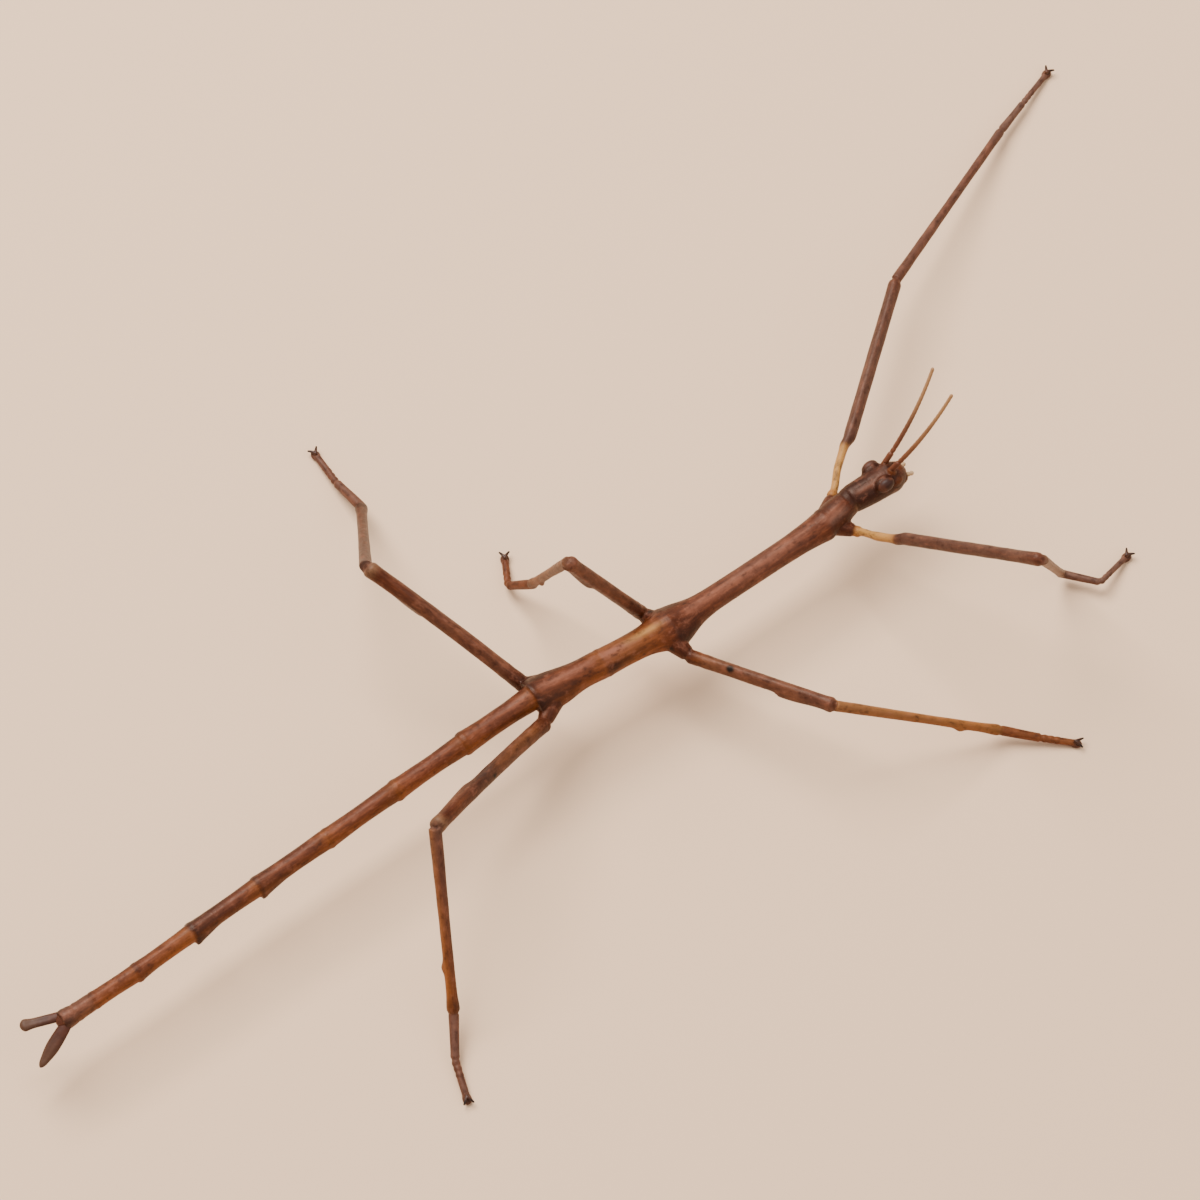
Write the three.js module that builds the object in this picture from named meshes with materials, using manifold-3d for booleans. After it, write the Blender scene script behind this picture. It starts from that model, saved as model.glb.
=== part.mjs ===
// Stick insect: a part-grown, wingless female of a giant Australian kind, standing on six feet.
// Millimetres, +Z up, the head towards +X, the insect's left towards +Y, the floor at z = 0.
// Every piece is a tube between two points, and pieces that touch are cut to fit each other.

import * as THREE from 'three';
import { mergeVertices } from 'three/addons/utils/BufferGeometryUtils.js';
import Module from 'manifold-3d';

const wasm = await Module();
wasm.setup();

// Driving dimensions. Distances along the body are counted forward from the abdomen's tip.

const JOINT_GAP = 0.1;
const NECK_FRONT = 113.2;
const NECK_SIDE = 0.65;
const NECK_HEIGHT = 8.9;

// The trunk from the neck back. Widths are at a segment's front, waist and hind edge, and a higher
// flare keeps the widening closer to the edges. A lobe is the flap on each lower hind corner. A flank
// is the swelling over the coxae: how far ahead of the hind edge it is highest, how far it spreads
// and its height. Side and height place the middle of the hind edge.
const TRUNK = [
  { name: 'neck', length: 0.8, widths: [3.4, 3.35, 3.5], flare: 2, lobe: 0, side: 0.4, height: 8.9 },
  { name: 'prothorax', length: 3.9, widths: [3.4, 3.7, 3.95], flare: 2, lobe: 0, side: -0.25, height: 8.8 },
  {
    name: 'mesothorax', length: 22.8, widths: [3.9, 2.95, 4.4], flare: 4, lobe: 0, side: -0.5, height: 8.9,
    flank: [0.9, 2.9, 0.85],
  },
  {
    name: 'metathorax', length: 9.3, widths: [4.3, 3.5, 3.7], flare: 3, lobe: 0, side: 0.05, height: 9.4,
    flank: [10.2, 3.2, 0.95],
  },
  {
    name: 'abdomen_1', length: 9.2, widths: [3.7, 3.4, 3.8], flare: 2, lobe: 0, side: 1.0, height: 9.9,
    flank: [2.2, 3.2, 0.8],
  },
  { name: 'abdomen_2', length: 10.0, widths: [3.2, 2.7, 3.0], flare: 2, lobe: 0.05, side: 0.9, height: 9.6 },
  { name: 'abdomen_3', length: 9.8, widths: [2.7, 2.4, 2.7], flare: 2, lobe: 0.05, side: 0.7, height: 9.3 },
  { name: 'abdomen_4', length: 9.9, widths: [2.5, 2.3, 2.5], flare: 2, lobe: 0.1, side: 0.4, height: 9.0 },
  { name: 'abdomen_5', length: 9.9, widths: [2.5, 2.3, 2.55], flare: 2, lobe: 0.4, side: 0.15, height: 8.8 },
  { name: 'abdomen_6', length: 9.4, widths: [2.4, 2.2, 2.4], flare: 2, lobe: 0.5, side: -0.2, height: 8.7 },
  { name: 'abdomen_7', length: 8.1, widths: [2.3, 2.1, 2.3], flare: 2, lobe: 0.15, side: -0.6, height: 8.6 },
  { name: 'abdomen_8', length: 6.0, widths: [2.2, 2.1, 2.2], flare: 2, lobe: 0, side: -0.6, height: 8.5 },
  { name: 'abdomen_9', length: 2.4, widths: [2.2, 2.2, 2.35], flare: 2, lobe: 0, side: -0.65, height: 8.5 },
  { name: 'abdomen_10', length: 1.7, widths: [2.3, 2.5, 2.4], flare: 2, lobe: 0, side: -0.6, height: 8.5 },
];
const TRUNK_DEPTH = 0.95;
const LOBE_START = 0.62;
const LOBE_ANGLE = 120;
const LOBE_SPREAD = 28;
const NO_FLANK = [0, 1, 0];
const FLANK_ANGLE = 108;
const FLANK_SPREAD = 42;
const TRUNK_RINGS = { perLength: 0.65, fewest: 2, most: 12 };
const TRUNK_SIDES = 12;

// The head, and what is on it, in its own frame: X forward from the neck, Y left, Z up. Its nape is
// its width there as a share of the whole, which it reaches at the share `eyesAt` of its length.
const HEAD = {
  length: 7.6, pitch: 12, roll: 18, width: 3.9, height: 3.6, chinDrop: 1.5, nape: 0.9, eyesAt: 0.62,
  napeRound: 0.04, frontRound: 0.34, blunt: 0.5,
};
const EYE = { place: [4.3, 1.8, 0.35], length: 2.2, width: 1.5, height: 1.7, turnedOut: 0.05 };
const PALP = { place: [7.0, 0.6, -1.6], length: 1.6, radius: 0.3, turn: 12, rise: -8, sunk: 0.3 };
const ANTENNA = {
  place: [6.0, 0.75, 0.7], length: 13.0, baseRadius: 0.36, tipRadius: 0.3, taperedAt: 0.4, bow: -0.45,
};
const ANTENNA_AIM = { left: [19, 42], right: [-3, 51] };

// The cerci, the two leaf-shaped feelers of the abdomen's tip.
const CERCUS = { side: 0.7, drop: 0.05, radius: 0.68, flatness: 0.6, slimmest: 0.72, sunk: 0.8 };
const CERCUS_AIM = {
  left: { length: 4.6, azimuth: 158, elevation: -4 },
  right: { length: 5.6, azimuth: -160, elevation: -22 },
};

// The keeled plate under the last segments, which starts this share of the way back from the front
// of the eighth.
const OPERCULUM = { drop: 0.62, startsAt: 0.15, halfWidth: 0.75, halfHeight: 0.72 };

// Legs. A hip is placed by its station along the body, its distance from the trunk's middle and its
// drop below it. Radii run from a stretch's start to its end.
const PAIRS = {
  front: {
    hip: { station: 111.6, side: 3.0, drop: 0.9 },
    coxa: { radius: 1.25, root: 0.9, ahead: -1.6 },
    femur: { length: 31.4, radius: 0.82, slim: 0.5, slimTo: 0.24, knee: 0.88, rings: 14, hollow: 0.36 },
    tibia: { length: 28.3, radius: 0.57, ankle: 0.56 },
    tarsus: { basitarsus: 4.8, toe: 5.4, radius: 0.46 },
    lobes: { femur: 0, femurAt: 0.5, tibia: 0 },
  },
  middle: {
    hip: { station: 85.9, side: 4.2, drop: 0.8 },
    coxa: { radius: 1.45, root: 1.2, ahead: -0.6 },
    femur: { length: 19.0, radius: 0.86, slim: 0.78, slimTo: 0.1, knee: 0.95, rings: 10 },
    tibia: { length: 22.0, radius: 0.61, ankle: 0.7 },
    tarsus: { basitarsus: 4.8, toe: 4.0, radius: 0.55 },
    lobes: { femur: 0.4, femurAt: 0.64, tibia: 0.35 },
  },
  hind: {
    hip: { station: 67.6, side: 3.2, drop: 0.9 },
    coxa: { radius: 1.5, root: 0.9, ahead: 2.0 },
    femur: { length: 23.0, radius: 0.98, slim: 0.9, slimTo: 0.1, knee: 1.07, rings: 10, bow: -0.2 },
    tibia: { length: 22.2, radius: 0.7, ankle: 0.78 },
    tarsus: { basitarsus: 5.3, toe: 4.7, radius: 0.57 },
    lobes: { femur: 0.68, femurAt: 0.64, tibia: 0.4 },
  },
};

// The pose of each leg: how far its hip is moved forward and to the left, then azimuth from the head's
// direction and elevation, in degrees. The toe's own elevation follows from the floor. A leg's roll
// turns its lobes further under it.
const POSES = {
  front_left: { hip: [0.45, -0.65], femur: [39, -2], tibia: [25, -11], basitarsus: [20, -4], toe: 21 },
  front_right: { hip: [0, 0], femur: [-70, 37], tibia: [37, -64], basitarsus: [-53, 5], toe: 16 },
  middle_left: {
    hip: [-1.2, -0.55], femur: [158, 62], tibia: [83, -66], basitarsus: [113, -47], toe: 60,
    roll: 50,
  },
  middle_right: { hip: [0, 0], femur: [-62, 10], tibia: [-31, -26], basitarsus: [-43, -10], toe: -42 },
  hind_left: {
    hip: [0.1, -0.8], femur: [113, 22], tibia: [58, -43], basitarsus: [91, -16], toe: 86,
    roll: 50,
  },
  hind_right: { hip: [-1, 0], femur: [-161, 21], tibia: [-119, -41], basitarsus: [-124, -17], toe: -109 },
};
const TOE_HEIGHT = 0.45;
const COXA_NARROWING = 0.42;
const FEMUR_SHAPE = {
  width: 0.94, height: 1.04, kneeAt: 0.975, kneeSpread: 0.04,
  lobeRise: 0.06, lobeFallsFrom: 0.02, lobeFallsTo: 0.95, lobeLoss: 0.8,
  hollowFrom: 0.03, hollowFull: 0.14, hollowEnds: 0.03,
};
const TIBIA_SHAPE = {
  start: 1.12, middle: 0.92, ankleAt: 0.97, ankleSpread: 0.06, lobeAt: 0.75, lobeSpread: 0.04,
};
const BASITARSUS_SHAPE = { start: 1.15, end: 0.95 };
const TOE_SHAPE = { start: 0.86, end: 0.76 };
const PAD = { length: 1.5, width: 1.15, height: 0.84, ahead: 0.1, sunk: 0.12 };
const CLAW = {
  length: 1.1, radius: 0.26, spread: 36, lift: 0.42, fall: 8, ahead: 0.1, sunk: 0.25, arch: 0.12,
};
const GROUND = { size: 400, depth: 10 };
const NEAR_TRUNK = 3;

const COLOURS = {
  head: 0x6b3626,
  eye: 0x45301f,
  trunk: 0x8f5638,
  abdomen: 0x874b31,
  leg: 0x72452c,
  foot: 0x735044,
  claw: 0x50301f,
  antenna: 0x8b6048,
  palp: 0xb08f74,
  cercus: 0x6c4a35,
};

const ROUGHNESS = { skin: 0.6, head: 0.45, eye: 0.25, claw: 0.35 };

const UP = new THREE.Vector3(0, 0, 1);

/** The unit vector at an azimuth from +X and an elevation, in degrees. */
function heading([azimuth, elevation]) {
  const turn = THREE.MathUtils.degToRad(azimuth);
  const rise = THREE.MathUtils.degToRad(elevation);
  const flat = Math.cos(rise);
  return new THREE.Vector3(flat * Math.cos(turn), flat * Math.sin(turn), Math.sin(rise));
}

/** The point at a distance from another in the direction of two angles. */
function reach(from, angles, distance) {
  return from.clone().addScaledVector(heading(angles), distance);
}

/** Rounds a tube's two ends: 1 along the middle, falling towards `blunt` at the tips. */
function rounding(t, start, end, blunt = 0.3) {
  let into = 1;
  if (start > 0) into = Math.min(into, t / start);
  if (end > 0) into = Math.min(into, (1 - t) / end);
  return Math.max(blunt, Math.sqrt(1 - (1 - Math.max(into, 0)) ** 2));
}

/** A bell-shaped bump of height 1 about a middle. */
function bump(value, middle, spread) {
  return Math.exp(-(((value - middle) / spread) ** 2));
}

/**
 * A closed tube from one point to another. `girth(t)` is [half width, half height] at a share t of
 * the length and `flap(t, angle)` what stands out beyond that. `arch` lifts the middle and `bow`
 * moves it to the left. Angles are in degrees, 0 at the top and growing to the left. `swell`
 * thickens the tube all round.
 */
function tube(spec, swell = 0) {
  const { from, to, rings, sides, girth, flap = () => 0, arch = 0, bow = 0, upright = false } = spec;
  const along = new THREE.Vector3().subVectors(to, from);
  const length = along.length();
  along.normalize();
  const left = new THREE.Vector3().crossVectors(UP, along).normalize();
  const top = new THREE.Vector3().crossVectors(along, left);
  if (upright) {
    left.set(0, 1, 0);
    top.copy(UP);
  }
  const geometry = new THREE.CylinderGeometry(1, 1, 1, sides, rings);
  const position = geometry.getAttribute('position');
  const point = new THREE.Vector3();
  for (let i = 0; i < position.count; i += 1) {
    const t = (1 - Math.cos(Math.PI * (position.getY(i) + 0.5))) / 2;
    const high = position.getX(i);
    const wide = position.getZ(i);
    const onWall = Math.hypot(high, wide) > 0.5;
    const angle = THREE.MathUtils.radToDeg(Math.atan2(wide, high));
    const [halfWidth, halfHeight] = girth(t);
    const extra = onWall ? swell + flap(t, angle) : 0;
    point.copy(from).addScaledVector(along, t * length + (2 * t - 1) * swell);
    const bent = 4 * t * (1 - t);
    point.addScaledVector(left, wide * (halfWidth + extra) + bow * bent);
    point.addScaledVector(top, high * (halfHeight + extra) + arch * bent);
    position.setXYZ(i, point.x, point.y, point.z);
  }
  geometry.deleteAttribute('normal');
  geometry.deleteAttribute('uv');
  return mergeVertices(geometry, 1e-5);
}

/** Turns a closed geometry into a solid that can be joined and cut. */
function solid(geometry) {
  const vertProperties = Float32Array.from(geometry.getAttribute('position').array);
  const triVerts = Uint32Array.from(geometry.getIndex().array);
  return new wasm.Manifold(new wasm.Mesh({ numProp: 3, vertProperties, triVerts }));
}

/** Turns a solid back into a geometry, keeping only its largest piece. */
function geometryOf(shape) {
  const largest = shape.decompose().reduce((a, b) => (a.volume() > b.volume() ? a : b));
  const mesh = largest.getMesh();
  const geometry = new THREE.BufferGeometry();
  geometry.setAttribute('position', new THREE.BufferAttribute(Float32Array.from(mesh.vertProperties), 3));
  geometry.setIndex(new THREE.BufferAttribute(Uint32Array.from(mesh.triVerts), 1));
  return geometry;
}

/** Joins tubes into one piece and cuts it to fit its neighbours, a joint's gap away from them. */
function fitted(specs, neighbours) {
  const parts = specs.map((spec) => solid(tube(spec)));
  let shape = parts.reduce((whole, part) => whole.add(part));
  for (const neighbour of neighbours) {
    shape = shape.subtract(solid(tube(neighbour, JOINT_GAP)));
  }
  return shape;
}

/** Wraps a geometry in a named mesh of one matt colour. */
function piece(name, geometry, colour, roughness = ROUGHNESS.skin) {
  const material = new THREE.MeshStandardMaterial({ color: colour, roughness, metalness: 0 });
  const mesh = new THREE.Mesh(geometry, material);
  mesh.name = name;
  return mesh;
}

// Trunk.

/** Works out where each trunk segment starts and ends, from the neck back. */
function trunkSpans() {
  const spans = {};
  let front = new THREE.Vector3(NECK_FRONT, NECK_SIDE, NECK_HEIGHT);
  for (const segment of TRUNK) {
    const hind = new THREE.Vector3(front.x - segment.length, segment.side, segment.height);
    spans[segment.name] = { front, hind };
    front = hind;
  }
  return spans;
}

/** The trunk's middle at a station along the body. */
function trunkMiddle(spans, station) {
  const span = Object.values(spans).find(({ front, hind }) => hind.x <= station && station <= front.x);
  const share = (span.front.x - station) / (span.front.x - span.hind.x);
  return span.front.clone().lerp(span.hind, share);
}

/** One segment of the trunk: waisted, flaring at its edges, with its lobes low on the hind edge. */
function trunkSegment(segment, { front, hind }) {
  const [frontWidth, waist, hindWidth] = segment.widths;
  const [ahead, spread, flankHeight] = segment.flank ?? NO_FLANK;
  const { perLength, fewest, most } = TRUNK_RINGS;
  const from = front.clone().lerp(hind, JOINT_GAP / 2 / segment.length);
  const to = hind.clone().lerp(front, JOINT_GAP / 2 / segment.length);
  return {
    // The tube runs from the hind edge forward, so that its left is the insect's left.
    from: to,
    to: from,
    rings: Math.round(THREE.MathUtils.clamp(segment.length * perLength, fewest, most)),
    sides: TRUNK_SIDES,
    upright: true,
    girth: (t) => {
      const back = 1 - 2 * t;
      const edge = back > 0 ? hindWidth : frontWidth;
      const width = waist + (edge - waist) * Math.abs(back) ** segment.flare;
      return [width / 2, (width / 2) * TRUNK_DEPTH];
    },
    flap: (t, angle) => {
      const share = Math.max(0, (1 - t - LOBE_START) / (1 - LOBE_START));
      const lobe = segment.lobe * share * bump(Math.abs(angle), LOBE_ANGLE, LOBE_SPREAD);
      const swelling = flankHeight * bump(t * segment.length, ahead, spread);
      return lobe + swelling * bump(Math.abs(angle), FLANK_ANGLE, FLANK_SPREAD);
    },
  };
}

// Head.

/** Moves a point of the head's own frame to its place in front of the neck. */
function onHead(place) {
  const neck = new THREE.Vector3(NECK_FRONT, NECK_SIDE, NECK_HEIGHT);
  const pitch = THREE.MathUtils.degToRad(HEAD.pitch);
  const roll = THREE.MathUtils.degToRad(HEAD.roll);
  return new THREE.Vector3(...place).applyAxisAngle(new THREE.Vector3(-1, 0, 0), roll)
    .applyAxisAngle(new THREE.Vector3(0, -1, 0), pitch)
    .add(neck);
}

/** The head capsule: narrow at the neck, widest at the eyes, rounded down to the mouth. */
function headCapsule() {
  return {
    from: onHead([JOINT_GAP, 0, 0]),
    to: onHead([HEAD.length, 0, -HEAD.chinDrop]),
    rings: 8,
    sides: 12,
    girth: (t) => {
      const fullness = Math.sin(Math.min(1, t / HEAD.eyesAt) * Math.PI / 2);
      const cheek = THREE.MathUtils.lerp(HEAD.nape, 1, fullness);
      const round = rounding(t, HEAD.napeRound, HEAD.frontRound, HEAD.blunt);
      return [(HEAD.width / 2) * cheek * round, (HEAD.height / 2) * cheek * round];
    },
  };
}

/** One compound eye, an egg shape set into the side of the head. */
function eye(sign) {
  const [forward, side, rise] = EYE.place;
  return {
    from: onHead([forward - EYE.length / 2, sign * (side - EYE.turnedOut), rise]),
    to: onHead([forward + EYE.length / 2, sign * (side + EYE.turnedOut), rise]),
    rings: 6,
    sides: 10,
    girth: (t) => {
      const round = rounding(t, 0.5, 0.5, 0.2);
      return [(EYE.width / 2) * round, (EYE.height / 2) * round];
    },
  };
}

/** One short feeler beside the mouth. */
function palp(sign) {
  const [forward, side, rise] = PALP.place;
  const base = onHead([forward - PALP.sunk, sign * side, rise]);
  const aim = [sign * PALP.turn, PALP.rise];
  return {
    from: base,
    to: reach(base, aim, PALP.length),
    rings: 4,
    sides: 6,
    girth: (t) => Array(2).fill(PALP.radius * rounding(t, 0, 0.25, 0.6)),
  };
}

/** One antenna, thickest in its first joint and bowed a little. */
function antenna(sign, aim) {
  const [forward, side, rise] = ANTENNA.place;
  const base = onHead([forward, sign * side, rise]);
  return {
    from: base,
    to: reach(base, aim, ANTENNA.length),
    rings: 8,
    sides: 6,
    bow: ANTENNA.bow,
    girth: (t) => {
      const share = Math.min(1, t / ANTENNA.taperedAt);
      const taper = THREE.MathUtils.lerp(ANTENNA.baseRadius, ANTENNA.tipRadius, share);
      return [taper, taper];
    },
  };
}

// Abdomen tip.

/** One cercus: narrow where it leaves the tip, broad in the middle, blunt at the end. */
function cercus(sign, tip, aim) {
  const base = tip.clone();
  base.y += sign * CERCUS.side;
  base.z -= CERCUS.drop;
  const start = reach(base, [aim.azimuth, aim.elevation], -CERCUS.sunk);
  return {
    from: start,
    to: reach(base, [aim.azimuth, aim.elevation], aim.length),
    rings: 6,
    sides: 8,
    girth: (t) => {
      const leaf = THREE.MathUtils.lerp(CERCUS.slimmest, 1, Math.sin(Math.PI * t));
      const radius = CERCUS.radius * leaf * rounding(t, 0, 0.12, 0.55);
      return [radius, radius * CERCUS.flatness];
    },
  };
}

/** The keeled plate under the abdomen's last segments, which covers where the eggs leave. */
function operculum({ front, hind }) {
  const drop = new THREE.Vector3(0, 0, -OPERCULUM.drop);
  return {
    from: hind.clone().add(drop),
    to: front.clone().lerp(hind, OPERCULUM.startsAt).add(drop),
    rings: 4,
    sides: 8,
    upright: true,
    girth: (t) => {
      const round = rounding(t, 0.3, 0.4, 0.3);
      return [OPERCULUM.halfWidth * round, OPERCULUM.halfHeight * round];
    },
  };
}

// Legs.

/** The points of one leg: hip, knee, ankle, where the toe bends, and the toe's end. */
function legPoints(pair, pose, sign, spans) {
  const hip = trunkMiddle(spans, pair.hip.station);
  const root = trunkMiddle(spans, pair.hip.station + pair.coxa.ahead);
  hip.x += pose.hip[0];
  hip.y += sign * pair.hip.side + pose.hip[1];
  hip.z -= pair.hip.drop;
  root.y += sign * pair.coxa.root;
  root.z -= pair.hip.drop / 2;
  const knee = reach(hip, pose.femur, pair.femur.length);
  const ankle = reach(knee, pose.tibia, pair.tibia.length);
  const bend = reach(ankle, pose.basitarsus, pair.tarsus.basitarsus);
  const fall = THREE.MathUtils.radToDeg(Math.asin((TOE_HEIGHT - bend.z) / pair.tarsus.toe));
  const toe = reach(bend, [pose.toe, fall], pair.tarsus.toe);
  return { root, hip, knee, ankle, bend, toe };
}

/** The stout joint between the body and a leg. */
function coxa(pair, { root, hip }) {
  const { radius } = pair.coxa;
  return {
    from: root,
    to: hip,
    rings: 4,
    sides: 8,
    girth: (t) => Array(2).fill(radius * (1 - COXA_NARROWING * t) * rounding(t, 0, 0.2, 0.5)),
  };
}

/** How much of a leg's lobe stands at an angle about it: all of it low on the leg's hind side. */
function hindSide(sign, angle, roll) {
  const off = THREE.MathUtils.euclideanModulo(sign * angle - LOBE_ANGLE - roll + 180, 360) - 180;
  return bump(off, 0, LOBE_SPREAD);
}

/** The thigh: slim at first, then full, with a flap on its hind side and a knob of a knee. */
function femur(pair, { hip, knee }, sign, roll) {
  const { radius, slim, slimTo, knee: kneeRadius, rings, hollow = 0, bow = 0 } = pair.femur;
  const { femur: lobe, femurAt: lobeAt } = pair.lobes;
  const shape = FEMUR_SHAPE;
  return {
    from: hip,
    to: knee,
    rings,
    sides: 8,
    bow,
    girth: (t) => {
      const filled = THREE.MathUtils.smoothstep(t, slimTo * 0.8, slimTo * 1.2);
      const thigh = THREE.MathUtils.lerp(slim, radius, filled);
      const width = THREE.MathUtils.lerp(thigh, kneeRadius, bump(t, shape.kneeAt, shape.kneeSpread));
      const round = rounding(t, 0.03, 0.03, 0.45);
      return [width * shape.width * round, width * shape.height * round];
    },
    flap: (t, angle) => {
      const rise = THREE.MathUtils.smoothstep(t, lobeAt - shape.lobeRise, lobeAt);
      const fall = THREE.MathUtils.smoothstep(t, lobeAt + shape.lobeFallsFrom, shape.lobeFallsTo);
      const blade = lobe * rise * (1 - shape.lobeLoss * fall) * hindSide(sign, angle, roll);
      const into = THREE.MathUtils.smoothstep(t, shape.hollowFrom, shape.hollowFull);
      const out = THREE.MathUtils.smoothstep(t, slimTo, slimTo + shape.hollowEnds);
      const outward = Math.cos(THREE.MathUtils.degToRad(angle - sign * 90));
      return blade + hollow * into * (1 - out) * outward;
    },
  };
}

/** The shin: slender and straight, a little wider at both ends, lobed above the ankle. */
function tibia(pair, { knee, ankle }, sign, roll) {
  const { radius, ankle: ankleRadius } = pair.tibia;
  const shape = TIBIA_SHAPE;
  return {
    from: knee,
    to: ankle,
    rings: 8,
    sides: 8,
    girth: (t) => {
      const shin = radius * THREE.MathUtils.lerp(shape.start, shape.middle, Math.min(1, t * 2));
      const width = THREE.MathUtils.lerp(shin, ankleRadius, bump(t, shape.ankleAt, shape.ankleSpread));
      return Array(2).fill(width * rounding(t, 0, 0.03, 0.5));
    },
    flap: (t, angle) => {
      const lobe = pair.lobes.tibia * bump(t, shape.lobeAt, shape.lobeSpread);
      return lobe * hindSide(sign, angle, roll);
    },
  };
}

/** The foot: its long first joint, the toe, and the pad under the claws. */
function footParts(pair, { ankle, bend, toe }) {
  const { radius } = pair.tarsus;
  const along = new THREE.Vector3().subVectors(toe, bend).setZ(0).normalize();
  const padMiddle = toe.clone().addScaledVector(along, PAD.ahead);
  padMiddle.z = PAD.height / 2 - PAD.sunk;
  return [
    {
      from: ankle,
      to: bend,
      rings: 3,
      sides: 6,
      girth: (t) => {
        const share = THREE.MathUtils.lerp(BASITARSUS_SHAPE.start, BASITARSUS_SHAPE.end, t);
        return Array(2).fill(radius * share * rounding(t, 0, 0.1, 0.7));
      },
    },
    {
      from: bend,
      to: toe,
      rings: 3,
      sides: 6,
      girth: (t) => {
        const share = THREE.MathUtils.lerp(TOE_SHAPE.start, TOE_SHAPE.end, t);
        return Array(2).fill(radius * share * rounding(t, 0.1, 0.05, 0.7));
      },
    },
    {
      from: padMiddle.clone().addScaledVector(along, -PAD.length / 2),
      to: padMiddle.clone().addScaledVector(along, PAD.length / 2),
      rings: 4,
      sides: 8,
      girth: (t) => {
        const round = rounding(t, 0.5, 0.5, 0.3);
        return [(PAD.width / 2) * round, (PAD.height / 2) * round];
      },
    },
  ];
}

/** The pair of hooked claws that spread from the toe's end, above the pad. */
function clawParts({ bend, toe }) {
  const along = new THREE.Vector3().subVectors(toe, bend);
  const azimuth = THREE.MathUtils.radToDeg(Math.atan2(along.y, along.x));
  const base = reach(toe, [azimuth, 0], CLAW.ahead);
  base.z += CLAW.lift;
  return [1, -1].map((sign) => ({
    from: reach(base, [azimuth + sign * CLAW.spread, 0], -CLAW.sunk),
    to: reach(base, [azimuth + sign * CLAW.spread, -CLAW.fall], CLAW.length),
    rings: 2,
    sides: 4,
    arch: CLAW.arch,
    girth: (t) => Array(2).fill(CLAW.radius * (1 - 0.5 * t) * rounding(t, 0.1, 0, 0.6)),
  }));
}

/** A block below the floor, which leaves each foot a small flat to stand on. */
function ground() {
  const block = new THREE.BoxGeometry(GROUND.size, GROUND.size, GROUND.depth);
  block.translate(0, 0, -GROUND.depth / 2);
  block.deleteAttribute('normal');
  block.deleteAttribute('uv');
  return solid(mergeVertices(block));
}

const insect = new THREE.Group();
const spans = trunkSpans();
const trunk = {};
for (const segment of TRUNK) {
  trunk[segment.name] = trunkSegment(segment, spans[segment.name]);
}

/** The trunk segments that a piece at a station may touch. */
function trunkNear(station) {
  return TRUNK.map(({ name }) => name)
    .filter((name) => spans[name].hind.x - NEAR_TRUNK < station)
    .filter((name) => station < spans[name].front.x + NEAR_TRUNK)
    .map((name) => trunk[name]);
}

const capsule = headCapsule();
const eyes = { left: eye(1), right: eye(-1) };
const skull = fitted([capsule], [trunk.neck, eyes.left, eyes.right]);
insect.add(piece('head', geometryOf(skull), COLOURS.head, ROUGHNESS.head));
for (const [side, sign] of [['left', 1], ['right', -1]]) {
  insect.add(piece(`eye_${side}`, tube(eyes[side]), COLOURS.eye, ROUGHNESS.eye));
  const feeler = antenna(sign, ANTENNA_AIM[side]);
  insect.add(piece(`antenna_${side}`, geometryOf(fitted([feeler], [capsule])), COLOURS.antenna));
  insect.add(piece(`palp_${side}`, geometryOf(fitted([palp(sign)], [capsule])), COLOURS.palp));
}

const keel = operculum({ front: spans.abdomen_8.front, hind: spans.abdomen_10.hind });
for (const { name } of TRUNK) {
  const colour = name.startsWith('abdomen') ? COLOURS.abdomen : COLOURS.trunk;
  const geometry = name === 'abdomen_8'
    ? geometryOf(fitted([trunk[name], keel], [trunk.abdomen_9, trunk.abdomen_10]))
    : tube(trunk[name]);
  insect.add(piece(name, geometry, colour));
}
for (const [side, sign] of [['left', 1], ['right', -1]]) {
  const feeler = cercus(sign, spans.abdomen_10.hind, CERCUS_AIM[side]);
  const rump = [trunk.abdomen_8, trunk.abdomen_9, trunk.abdomen_10, keel];
  insect.add(piece(`cercus_${side}`, geometryOf(fitted([feeler], rump)), COLOURS.cercus));
}

const floor = ground();
for (const [leg, pose] of Object.entries(POSES)) {
  const [row, side] = leg.split('_');
  const pair = PAIRS[row];
  const sign = side === 'left' ? 1 : -1;
  const points = legPoints(pair, pose, sign, spans);
  const hipPiece = coxa(pair, points);
  const thigh = femur(pair, points, sign, pose.roll ?? 0);
  const shin = tibia(pair, points, sign, pose.roll ?? 0);
  const foot = footParts(pair, points);
  const footSolid = fitted(foot, [shin]).subtract(floor);
  insect.add(piece(`coxa_${leg}`, geometryOf(fitted([hipPiece], trunkNear(pair.hip.station))), COLOURS.leg));
  insect.add(piece(`femur_${leg}`, geometryOf(fitted([thigh], [hipPiece])), COLOURS.leg));
  insect.add(piece(`tibia_${leg}`, geometryOf(fitted([shin], [thigh])), COLOURS.leg));
  insect.add(piece(`tarsus_${leg}`, geometryOf(footSolid), COLOURS.foot));
  const hooks = geometryOf(fitted(clawParts(points), foot));
  insect.add(piece(`claws_${leg}`, hooks, COLOURS.claw, ROUGHNESS.claw));
}

// The origin is on the floor under the middle of the bounding box.
const box = new THREE.Box3().setFromObject(insect);
const middle = box.getCenter(new THREE.Vector3());
insect.position.set(-middle.x, -middle.y, 0);
insect.updateMatrixWorld(true);

export default insect;
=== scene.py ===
"""The looks of the stick insect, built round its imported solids.

Lengths are in millimetres in the body's own frame, as the solids were drawn: X counts forward from
the abdomen's tip, Y is the insect's left and Z is up from the floor. Each finished mesh is moved to
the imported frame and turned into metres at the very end.
"""

import logging
import math
from collections.abc import Callable, Iterable, Sequence
from dataclasses import dataclass
from enum import Enum

import bmesh
import bpy
import numpy as np
from mathutils import Matrix, Vector, noise


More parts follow.
